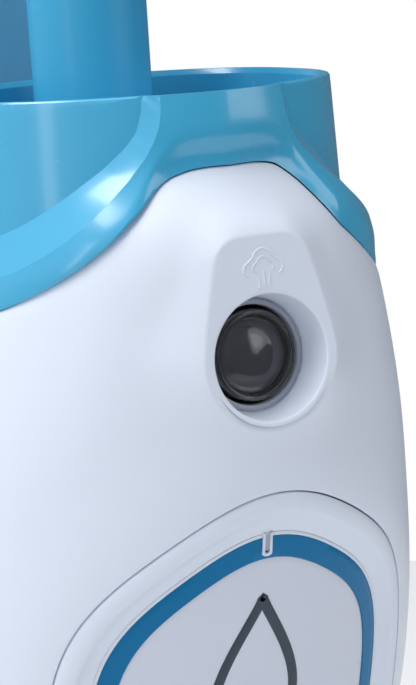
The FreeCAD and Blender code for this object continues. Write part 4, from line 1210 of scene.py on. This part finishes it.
def pillow_rings(x0, x1, y0, y1, z0, z1, corner, count=64, ease_off=0.0):
    """Rings of a block with rounded plan corners; ease_off rounds its two ends."""
    turns = full_turn(count) + math.pi / count
    rings = []
    stations = [(z0, 0.0), (z1, 0.0)]
    if ease_off:
        stations = [(z0, ease_off), (z0 + 0.13 * ease_off, 0.5 * ease_off),
                    (z0 + 0.5 * ease_off, 0.13 * ease_off),
                    (z0 + ease_off, 0.0), (z1 - ease_off, 0.0), (z1 - 0.5 * ease_off, 0.13 * ease_off),
                    (z1 - 0.13 * ease_off, 0.5 * ease_off), (z1, ease_off)]
    for z, shrink in stations:
        half_x = 0.5 * (x1 - x0) - shrink
        half_y = 0.5 * (y1 - y0) - shrink
        r = max(0.05, min(corner, half_x, half_y) - 0.5 * shrink)
        cx = np.sign(np.cos(turns)) * (half_x - r)
        cy = np.sign(np.sin(turns)) * (half_y - r)
        x = 0.5 * (x0 + x1) + cx + r * np.cos(turns)
        y = 0.5 * (y0 + y1) + cy + r * np.sin(turns)
        rings.append(np.stack([x, y, np.full(count, z)], 1))
    return rings


def make_sole():
    levels = ((9.1, 8.0), (9.1, 4.2), (9.4, 3.4), (10.2, 3.1), (13.8, 3.1), (14.7, 3.4), (15.0, 4.2),
              (15.0, 10.0))
    joined_piece("sole_edge", [skin_rings([head_ring(*level) for level in levels], cap_first=True,
                                          cap_last=True)], DARK, "head", ["sole_plate"])
    tab = pillow_rings(-13.0, 13.0, 76.0, 85.0, 9.6, 14.6, 3.5, 48, 0.9)
    joined_piece("toe_release_tab", [skin_rings(tab, cap_first=True, cap_last=True)], TRIM, "head")


# ------------------------------------------------------------------ cloth pad
PAD_LIMIT = 2.6


def pad_body():
    """The pad before it is stuffed: the head's plan, a little small, eight millimetres thick."""
    levels = ((0.7, 2.0), (0.7, -1.4), (1.6, -2.6), (3.4, -3.2), (5.4, -2.8), (7.0, -1.4), (7.2, 2.0))
    rings = [head_ring(z, inset, 200) for z, inset in levels]
    for inset in (12.0, 24.0, 36.0, 48.0, 60.0, 72.0):
        rings.append(head_ring(7.2, inset, 200))
        rings.insert(0, head_ring(0.7, inset, 200))
    return skin_rings(rings, cap_first=True, cap_last=True)


def stuff_pad(piece):
    """Puffs the pad out as cloth under a little pressure, moving no point far."""
    remesh = piece.modifiers.new("remesh", "REMESH")
    remesh.mode = "VOXEL"
    remesh.voxel_size = 0.0036
    bake_mesh(piece)
    before = np.empty(len(piece.data.vertices) * 3)
    piece.data.vertices.foreach_get("co", before)
    scene = bpy.context.scene
    cloth = piece.modifiers.new("cloth", "CLOTH")
    cloth.settings.use_pressure = True
    cloth.settings.uniform_pressure_force = 4.0
    cloth.settings.effector_weights.gravity = 0.0
    cloth.settings.quality = 4
    for frame_number in range(1, 15):
        scene.frame_set(frame_number)
    graph = bpy.context.evaluated_depsgraph_get()
    puffed = piece.evaluated_get(graph).to_mesh()
    after = np.empty(len(puffed.vertices) * 3)
    puffed.vertices.foreach_get("co", after)
    piece.evaluated_get(graph).to_mesh_clear()
    piece.modifiers.clear()
    scene.frame_set(1)
    move = (after - before).reshape(-1, 3)
    length = np.linalg.norm(move, axis=1, keepdims=True)
    limit = PAD_LIMIT * MM
    move *= np.minimum(1.0, limit / np.maximum(length, 1e-9))
    place = before.reshape(-1, 3) + move
    place[:, 2] = np.clip(place[:, 2], 0.0002, 0.0088)
    piece.data.vertices.foreach_set("co", place.ravel())
    divide = piece.modifiers.new("divide", "SUBSURF")
    divide.levels = 1
    divide.render_levels = 1
    bake_mesh(piece)


def bake_mesh(piece):
    bpy.context.view_layer.update()
    graph = bpy.context.evaluated_depsgraph_get()
    done = bpy.data.meshes.new_from_object(piece.evaluated_get(graph))
    piece.modifiers.clear()
    piece.data = done


def make_pad():
    points, faces = pad_body()
    piece = make_piece("mop_pad_cloth", points, faces, PAD, "head")
    stuff_pad(piece)
    count = len(piece.data.vertices)
    co = np.empty(count * 3)
    piece.data.vertices.foreach_get("co", co)
    co = co.reshape(-1, 3)
    x, y, z = (co / MM).T
    rows = np.sin(x * 2 * math.pi / 9.0 + 1.2 * np.sin(y * 0.16))
    tufts = np.sin(y * 2 * math.pi / 6.5 + 0.9 * np.sin(x * 0.21))
    side = np.clip(np.hypot(x / 145.0, (y + 3.0) / 92.0) - 0.72, 0, 0.3) / 0.3
    lift = 0.35 * rows * tufts * (z < 6.9) * (z > 0.6)
    away = np.stack([x / 145.0, y / 90.0], 1)
    away /= np.maximum(np.linalg.norm(away, axis=1, keepdims=True), 1e-6)
    co[:, 0] += away[:, 0] * lift * side * MM
    co[:, 1] += away[:, 1] * lift * side * MM
    piece.data.vertices.foreach_set("co", co.ravel())
    piece.data.polygons.foreach_set("use_smooth", [True] * len(piece.data.polygons))
    place_piece(piece, PAD, "head", ["mop_pad"])

    edge = head_ring(7.4, -1.9, 420)
    wobble = 0.16 * np.sin(full_turn(420) * 74)
    edge[:, 2] += wobble
    points, faces = tube_along(edge, 1.15, 10, closed=True)
    make_piece("pad_piping", points, faces, TRIM_CLOTH, "head")
    parts = []
    line = head_ring(8.0, 3.4, 700)
    lengths = np.concatenate([[0], np.cumsum(np.linalg.norm(np.diff(line, axis=0), axis=1))])
    at = np.arange(0, lengths[-1] - 3, 4.2)
    for start in at:
        ends = np.array([start, start + 1.4, start + 2.8])
        stitch = np.stack([np.interp(ends, lengths, line[:, k]) for k in range(3)], 1)
        stitch[:, 2] = (7.9, 8.45, 7.9)
        parts.append(tube_along(stitch, 0.28, 6))
    joined_piece("pad_stitches", parts, TRIM_CLOTH, "head")


# ------------------------------------------------------------------ neck
ALONG_X = Matrix.Rotation(math.pi / 2, 4, "Y")
ALONG_Y = Matrix.Rotation(-math.pi / 2, 4, "X")


def disc_arm(radius, centre_z, y_stations, foot_z, foot_half):
    """A flat arm in the XZ plane with a round end: rings through y_stations of (y, shrink)."""
    outline = [(-foot_half, foot_z)]
    sweep = np.linspace(math.pi, 2 * math.pi, 40) if foot_z > centre_z else np.linspace(math.pi, 0, 40)
    for turn in sweep:
        outline.append((radius * math.cos(turn), centre_z + radius * math.sin(turn)))
    outline.append((foot_half, foot_z))
    outline = np.array(outline)
    middle = np.array([0.0, centre_z])
    rings = []
    for y, shrink in y_stations:
        flat = middle + (outline - middle) * (1 - shrink / radius)
        flat[[0, -1], 1] = foot_z
        rings.append(np.stack([flat[:, 0], np.full(len(flat), y), flat[:, 1]], 1))
    return rings


def make_neck():
    barrel = rounded([(4.2, -17.0), (12.9, -17.0), (12.9, -12.0), (12.3, -11.4), (12.3, 11.4), (12.9, 12.0),
                      (12.9, 17.0), (4.2, 17.0)], (0, 1.0, 0.3, 0.3, 0.3, 0.3, 1.0, 0), 5)
    points, faces = skin_rings(turned(barrel, 96))
    parts = [(moved(points, Matrix.Translation((0, PITCH_Y, PITCH_Z)) @ ALONG_X), faces)]
    rings = []
    for z, half, front, back in ((44.0, 11.0, -6.9, 19.0), (52.0, 11.0, -6.9, 18.2),
                                 (58.0, 10.9, -6.9, 16.0),
                                 (63.0, 10.8, -6.9, 12.0), (67.0, 10.8, -6.9, 8.6),
                                 (72.0, 10.8, -6.9, 7.0)):
        rings.append(pillow_rings(-half, half, front, back, z, z + 1, 3.0, 64)[0])
    parts.append(skin_rings(rings))
    stations = ((-6.95, 0.9), (-6.85, 0.4), (-6.5, 0.1), (-6.0, 0.0), (6.0, 0.0), (6.5, 0.1), (6.85, 0.4),
                (6.95, 0.9))
    arm = disc_arm(10.9, SWIVEL_Z, stations, 66.0, 10.9)
    parts += open_with_ends(arm)
    joined_piece("knuckle_casting", parts, GREY, "knuckle", ["knuckle"])

    parts = []
    levels = [(98.0, 13.5, 14.5), (98.2, 14.6, 15.6), (99.0, 15.0, 16.0), (108.0, 16.4, 17.4),
              (118.0, 18.0, 19.0)]
    for k in range(6):
        z = 119.0 + k * 3.6
        grow = 18.1 + 0.35 * k
        levels += [(z, grow, grow + 1.0), (z + 0.7, grow + 0.7, grow + 1.7),
                   (z + 2.1, grow + 0.8, grow + 1.8),
                   (z + 2.8, grow + 0.15, grow + 1.1)]
    levels += [(142.0, 20.2, 20.3), (150.5, 20.6, 20.8)]
    rings = []
    turns = full_turn(112)
    for z, half, depth in levels:
        rings.append(np.stack([half * signed_power(np.sin(turns), 0.86),
                               -depth * signed_power(np.cos(turns), 0.86),
                               np.full(112, z)], 1))
    parts.append(skin_rings(rings, cap_first=True))
    for side in (-1, 1):
        stations = [(side * y, shrink) for y, shrink in
                    ((7.65, 0.9), (7.75, 0.4), (8.1, 0.1), (8.6, 0.0), (15.0, 0.0), (15.5, 0.1),
                    (15.85, 0.4), (15.95, 0.9))]
        parts += open_with_ends(disc_arm(11.9, SWIVEL_Z, stations, 103.0, 12.4))
    joined_piece("neck_fork_skin", parts, COLLAR_BLUE, "upright", ["neck_fork"])
    ring = rounded([(20.9, 141.0), (23.8, 141.0), (24.4, 149.7), (21.2, 149.7)], (0, 0.8, 0.8, 0), 5)
    lathe_piece("neck_trim_ring", ring, UPRIGHT, TRIM, "upright", ["neck_ring"])
    head = rounded([(6.6, 0.0), (6.6, 0.5), (3.0, 0.7), (2.6, 0.3), (0.02, 0.3)], (0, 0.4, 0.15, 0.1, 0), 4)
    for side in (-1, 1):
        matrix = Matrix.Translation((0, side * 15.95, SWIVEL_Z)) @ Matrix.Rotation(-side * math.pi / 2, 4,
                "X")
        lathe_piece("swivel_cap_" + ("front" if side < 0 else "back"), head, matrix, TRIM, "upright",
                    steps=48)


# ------------------------------------------------------------------ pole, hooks and handle
def bar_along(path, half_width, half_thick, corner, sides=9):
    """A rounded flat bar along a path of (y, z), its width along X."""
    path = np.asarray(path, float)
    count = len(path)
    profile = []
    for sign_x, sign_t in ((1, 1), (-1, 1), (-1, -1), (1, -1)):
        start = {(1, 1): 0.0, (-1, 1): 0.5, (-1, -1): 1.0, (1, -1): 1.5}[(sign_x, sign_t)] * math.pi
        for turn in np.linspace(start, start + math.pi / 2, sides):
            profile.append((sign_x, sign_t, math.cos(turn), math.sin(turn)))
    profile = np.array(profile)
    lengths = np.concatenate([[0], np.cumsum(np.linalg.norm(np.diff(path, axis=0), axis=1))])
    rings = []
    for k in range(count):
        ahead = path[min(k + 1, count - 1)] - path[max(k - 1, 0)]
        ahead /= np.linalg.norm(ahead)
        normal = np.array([-ahead[1], ahead[0]])
        from_end = min(lengths[k] + 99.0, lengths[-1] - lengths[k])
        tip = math.sqrt(max(0.0, 1 - max(0.0, 1 - from_end / 2.2) ** 2))
        wide = half_width - 2.0 * (1 - tip)
        thick = half_thick * (0.35 + 0.65 * tip)
        r = min(corner, thick * 0.95, wide)
        x = profile[:, 0] * (wide - r) + r * profile[:, 2]
        t = profile[:, 1] * (thick - r) + r * profile[:, 3]
        rings.append(np.stack([x, path[k, 0] + normal[0] * t, path[k, 1] + normal[1] * t], 1))
    return skin_rings(rings, cap_first=True, cap_last=True)


def dense_path(corners, radius, step=0.8):
    return resample(np.array(rounded(corners, radius, 10)), step)


def make_pole():
    ferrule = rounded([(15.3, 640.1), (16.4, 640.1), (16.4, 646.0), (16.0, 646.6), (16.0, 648.2),
                       (16.4, 648.8),
                       (16.4, 654.2), (12.8, 663.9), (11.56, 664.0)],
                       (0, 0.5, 0.2, 0.2, 0.2, 0.2, 1.5, 0.5, 0), 5)
    lathe_piece("pole_ferrule_ring", ferrule, UPRIGHT, TRIM, "upright", ["pole_ferrule"])
    tube = [(11.5, z) for z in np.linspace(570.0, 1034.0, 30)] + [(10.5, 1034.0), (10.5, 570.0)]
    lathe_piece("pole_tube", tube, UPRIGHT, BLUE, "upright", ["pole"])
    button = rounded([(5.0, 4.2), (5.0, 6.8), (3.8, 7.0), (3.8, 15.0), (2.0, 15.75), (0.02, 15.8)],
                     (0, 0.3, 0.3, 0.7, 0.6, 0), 5)
    matrix = Matrix.Translation((0, 0, SNAP_BUTTON_Z)) @ Matrix.Rotation(math.pi / 2, 4, "X")
    lathe_piece("pole_snap_button", button, matrix, TRIM, "pole_button", ["pole_button"],
                steps=48)
    bezel = rounded([(4.2, 14.3), (4.2, 15.2), (6.2, 14.9), (7.0, 13.2)], (0, 0.3, 0.6, 0), 4)
    lathe_piece("pole_button_bezel", bezel, matrix, BLUE, "upright", steps=48)


def make_hooks():
    clamp = rounded([(11.55, 744.0), (14.5, 744.0), (14.5, 749.0), (13.9, 749.5), (13.9, 770.5),
                     (14.5, 771.0),
                     (14.5, 776.0), (11.55, 776.0)], (0, 0.8, 0.3, 0.3, 0.3, 0.3, 0.8, 0), 5)
    points, faces = skin_rings(turned(clamp, 96))
    arm = bar_along(dense_path([(12.5, LOWER_HOOK_Z), (49.0, LOWER_HOOK_Z), (49.0, LOWER_HOOK_Z - 26.0)],
                               6.5), 7.0, 3.0, 1.8)
    brace = bar_along(dense_path([(12.5, 749.5), (26.0, 757.8)], 1.0), 2.2, 1.6, 0.8)
    joined_piece("lower_hook_body", [(points, faces), arm, brace], GREY, "upright",
                 ["lower_cord_hook"])
    base = rounded([(9.5, 12.0), (9.5, 18.9), (0.02, 19.0)], (0, 0.8, 0), 5)
    matrix = Matrix.Translation((0, 0, UPPER_HOOK_Z)) @ ALONG_Y
    lathe_piece("hook_base_boss", base, matrix, GREY, "upright", ["hook_base"], steps=64)
    hub = rounded([(3.1, 19.35), (9.4, 19.35), (9.4, 27.9), (5.2, 28.0), (4.8, 27.4), (0.02, 27.4)],
                  (0, 0.7, 0.9, 0.2, 0.2, 0), 5)
    points, faces = skin_rings(turned(hub, 64))
    arm = bar_along(dense_path([(22.5, UPPER_HOOK_Z), (53.0, UPPER_HOOK_Z), (53.0, UPPER_HOOK_Z + 26.0)],
                               6.5), 7.0, 3.0, 1.8)
    joined_piece("upper_hook_body", [(moved(points, matrix), faces), arm], GREY, "upper_hook",
                 ["upper_cord_hook"])


def handle_point(turn, inset, x):
    """A point of the loop handle; turn runs round the loop and inset goes in from its outline."""
    y = (39.0 - inset) * signed_power(np.cos(turn), 0.8)
    z = (89.0 - inset) * signed_power(np.sin(turn), 0.8)
    return np.stack([x, y + 0.10 * z + 4.0, 1111.0 + z], -1)


def handle_inset(x):
    share = np.clip(np.abs(x) / 14.0, 0, 1)
    return 10.5 - 10.5 * (1 - share ** 2.6) ** (1 / 2.6)


def make_handle():
    turns = full_turn(260)
    around = full_turn(72)
    around = around - 0.10 * np.sin(2 * around)
    inset = 10.5 - 10.5 * signed_power(np.cos(around), 2 / 2.6)
    x = 14.0 * signed_power(np.sin(around), 2 / 2.6)
    groove = 0.4 * np.exp(-(x / 0.45) ** 2)
    inset = inset + np.where(inset < 10.5, groove, -groove)
    rings = [handle_point(np.full(72, t), inset, x) for t in turns]
    rings.append(rings[0])
    loop = skin_rings(rings)
    socket = rounded([(11.6, 972.0), (15.0, 972.0), (15.15, 977.0), (14.7, 977.7), (14.8, 979.2),
                      (15.3, 979.8),
                      (17.0, 1029.0), (15.5, 1034.5), (9.0, 1036.0), (0.02, 1036.0)],
                     (0, 0.8, 0.3, 0.3, 0.3, 0.3, 3.0, 2.0, 1.0, 0), 6)
    socket_points, socket_faces = skin_rings(turned(socket, 112))
    points, faces = join_parts([loop, (socket_points, socket_faces)])
    piece = make_piece("handle_loop_skin", points, faces, BLUE, "upright",
                       ["handle_left", "handle_right"])
    weld(piece, 0.00003)

    rear = np.linspace(-0.60, 0.60, 200)
    sides = np.linspace(-10.6, 10.6, 41)
    rows = []
    for turn in rear:
        edge_turn = (0.60 - abs(turn)) / 0.05
        edge_side = (10.6 - np.abs(sides)) / 1.4
        edge = np.clip(np.minimum(edge_turn, edge_side), 0, 1)
        dome = np.sqrt(np.clip(1 - (1 - edge) ** 2, 0, 1))
        rib = 0.5 + 0.5 * math.cos(turn * 2 * math.pi * 13)
        inside = np.clip((8.2 - np.abs(sides)) / 1.2, 0, 1) * np.clip((0.52 - abs(turn)) / 0.04, 0, 1)
        proud = -0.5 + 1.15 * dome - 0.38 * (rib > 0.72) * inside
        rows.append(handle_point(np.full(41, turn), handle_inset(sides) - proud, sides))
    joined_piece("grip_pad", [skin_rings(rows, closed=False)], RUBBER, "upright",
                 ["grip_insert"], sharp=50.0)
    for index, (y_side, z) in enumerate(((1, 1040.0), (1, 1182.0), (-1, 1092.0), (-1, 1140.0))):
        turn = math.asin(np.clip(abs(z - 1111.0) / 78.5, 0, 1) ** 1.25) * (1 if z > 1111 else -1)
        turn = turn if y_side > 0 else math.pi - turn
        centre = handle_point(np.array([turn]), np.array([10.5]), np.array([0.0]))[0]
        matrix = Matrix.Translation((-14.1, centre[1], centre[2])) @ Matrix.Rotation(-math.pi / 2, 4, "Y")
        well = rounded([(3.6, -0.2), (3.4, 0.35), (2.6, 0.3), (2.4, -0.6), (0.02, -0.6)],
                       (0, 0.2, 0.2, 0.1, 0), 3)
        lathe_piece("handle_screw_well_" + str(index), well, matrix, DARK, "upright",
                    steps=32)


# ------------------------------------------------------------------ tank lid, cap and latch
def make_tank_lid():
    rings = [tank_ring(*s) for s in ((556.1, 33.4, 34.6, 74.6), (556.2, 34.4, 33.8, 75.4),
                                     (556.8, 34.7, 33.6, 75.7),
                                     (560.4, 34.6, 33.7, 75.6), (561.8, 34.1, 34.2, 75.1),
                                     (563.0, 33.0, 35.2, 74.0),
                                     (563.8, 31.4, 36.4, 72.4), (564.0, 29.6, 37.4, 70.4))]
    turns = full_turn(96)
    for radius, z in ((15.6, 564.0), (14.2, 563.9), (13.7, 563.5), (13.5, 562.5), (13.5, 552.0),
                      (12.0, 551.0)):
        rings.append(np.stack([radius * np.sin(turns), FILLER_Y - radius * np.cos(turns), np.full(96, z)],
                              1))
    points, faces = skin_rings(rings)
    lid = make_piece("tank_lid", points, faces, BLUE, "tank", ["tank_top"])
    cut_away(lid, pillow_rings(-9.25, 9.25, 68.2, 80.0, 555.0, 560.95, 1.5, 48), 35.0)

    disc = rounded([(0.02, 559.6), (12.3, 559.6), (12.3, 564.4), (15.3, 564.4), (15.5, 567.0),
                    (13.4, 568.0),
                    (9.0, 567.7), (0.02, 567.6)], (0, 0.6, 0.3, 0.3, 0.9, 0.6, 2.0, 0), 5)
    points, faces = skin_rings(turned(disc, 112))
    points = points + np.array([0.0, FILLER_Y, 0.0])
    tab = bar_along(dense_path([(40.0, 566.3), (33.2, 566.3)], 0.5), 5.0, 1.2, 0.8)
    arm = bar_along(dense_path([(58.0, 566.8), (67.2, 567.0)], 0.5), 3.9, 1.5, 0.8)
    knuckle_points, knuckle_faces = skin_rings(turned(rounded([(1.3, -4.0), (2.6, -4.0), (2.6, 4.0),
            (1.3, 4.0)],
                                                              (0, 0.4, 0.4, 0), 4), 40))
    matrix = Matrix.Translation((0, 67.0, 567.0)) @ ALONG_X
    joined_piece("tank_filler_cap", [(points, faces), tab, arm,
                                     (moved(knuckle_points, matrix), knuckle_faces)], BLUE, "tank_cap",
                                     ["tank_cap"])

    block, block_faces = skin_rings(pillow_rings(-8.9, 8.9, 71.8, 78.3, 556.4, 560.6, 1.4, 64, 0.8),
                                    cap_first=True, cap_last=True)
    parts = [(block, block_faces)]
    for k in range(5):
        x = -5.0 + 2.5 * k
        parts.append(tube_along([(x, 78.2, 557.3), (x, 78.45, 557.9), (x, 78.45, 559.1), (x, 78.2, 559.7)],
                                0.4, 8))
    joined_piece("tank_latch_key", parts, TRIM, "tank_latch", ["tank_latch"])


# ------------------------------------------------------------------ stage, light and camera
def make_stage():
    floor_material, nodes, links = new_material("floor_pale")
    shader = nodes["Principled BSDF"]
    shader.inputs["Roughness"].default_value = 0.9
    shader.inputs["Emission Color"].default_value = (1, 1, 1, 1)
    shader.inputs["Emission Strength"].default_value = 0.1
    links.new(tint(nodes, links, noise(nodes, links, 2.0), (0.90, 0.90, 0.905), (0.92, 0.92, 0.925)),
              shader.inputs["Base Color"])
    turns = full_turn(128)
    rim = [(FLOOR_R * math.cos(t), FLOOR_R * math.sin(t), 0.0) for t in turns]
    mesh = bpy.data.meshes.new("floor")
    mesh.from_pydata(rim, [], [tuple(range(len(rim)))])
    floor = bpy.data.objects.new("floor", mesh)
    bpy.context.scene.collection.objects.link(floor)
    floor.data.materials.append(floor_material)


def add_area(name, place, aim, size, power, color=(1, 1, 1)):
    light = bpy.data.lights.new(name, "AREA")
    light.shape = "RECTANGLE"
    light.size, light.size_y = size
    light.energy = power
    light.color = color
    lamp = bpy.data.objects.new(name, light)
    bpy.context.scene.collection.objects.link(lamp)
    lamp.location = place
    lamp.rotation_euler = (Vector(aim) - Vector(place)).to_track_quat("-Z", "Y").to_euler()
    return lamp


def make_light():
    """A white backdrop, a dome that is lighter at the left, and soft boxes at the left, above and in front."""
    world = bpy.data.worlds.new("studio")
    bpy.context.scene.world = world
    world.use_nodes = True
    nodes = world.node_tree.nodes
    links = world.node_tree.links
    place = nodes.new("ShaderNodeTexCoord")
    across = nodes.new("ShaderNodeVectorMath")
    across.operation = "DOT_PRODUCT"
    across.inputs[1].default_value = (-0.80, 0.10, 0.55)
    links.new(place.outputs["Generated"], across.inputs[0])
    dome = nodes.new("ShaderNodeValToRGB")
    dome.color_ramp.elements[0].position = 0.0
    dome.color_ramp.elements[0].color = (0.13, 0.14, 0.16, 1)
    dome.color_ramp.elements[1].position = 0.95
    dome.color_ramp.elements[1].color = (0.75, 0.78, 0.82, 1)
    links.new(across.outputs["Value"], dome.inputs["Fac"])
    seen = nodes.new("ShaderNodeLightPath")
    joined = nodes.new("ShaderNodeMix")
    joined.data_type = "RGBA"
    joined.inputs["B"].default_value = (1.0, 1.0, 1.0, 1)
    links.new(seen.outputs["Is Camera Ray"], joined.inputs["Factor"])
    links.new(dome.outputs["Color"], joined.inputs["A"])
    links.new(joined.outputs["Result"], nodes["Background"].inputs["Color"])
    nodes["Background"].inputs["Strength"].default_value = 1.0
    add_area("key_top_left", (-0.95, -0.02, 2.10), (0, 0, 0.45), (1.3, 0.6), 25, (0.98, 0.99, 1.0))
    add_area("front_left", (-1.5, -1.3, 1.7), (0, 0, 0.4), (1.6, 1.6), 1.4, (0.97, 0.98, 1.0))
    add_area("strip_left", (-1.35, -0.65, 0.80), (0, 0, 0.45), (0.22, 1.0), 1.8, (0.97, 0.98, 1.0))
    add_area("top_soft", (0.1, -0.3, 2.4), (0, 0, 0.4), (1.2, 1.2), 6, (1.0, 1.0, 1.0))
    add_area("fill_right", (1.3, -1.5, 1.1), (0, 0, 0.4), (1.2, 1.2), 10, (1.0, 1.0, 1.0))
    bpy.context.scene.view_settings.view_transform = "Standard"


def make_camera():
    camera = bpy.data.cameras.new("photo_view")
    camera.lens = 92.15
    camera.sensor_width = 36.0
    camera.sensor_fit = "AUTO"
    camera.clip_start = 0.01
    holder = bpy.data.objects.new("photo_view", camera)
    bpy.context.scene.collection.objects.link(holder)
    right = Vector((0.8812, -0.4690, -0.0592))
    up = Vector((0.1490, 0.1567, 0.9764))
    back = Vector((-0.4486, -0.8692, 0.2079))
    holder.matrix_world = Matrix((
        (right.x, up.x, back.x, -0.1834),
        (right.y, up.y, back.y, -0.4104),
        (right.z, up.z, back.z, 0.5060),
        (0, 0, 0, 1),
    ))
    bpy.context.scene.camera = holder


dress_cad_nodes()
make_front_shell()
make_rear_shell()
build_collar()
make_badge()
make_notch()
make_emblem()
make_icon()
make_button()
make_column()
make_cup_inside()
make_tank()
make_tank_lid()
make_head_cover()
make_sole()
make_pad()
make_neck()
make_pole()
make_hooks()
make_handle()
make_stage()
make_light()
make_camera()
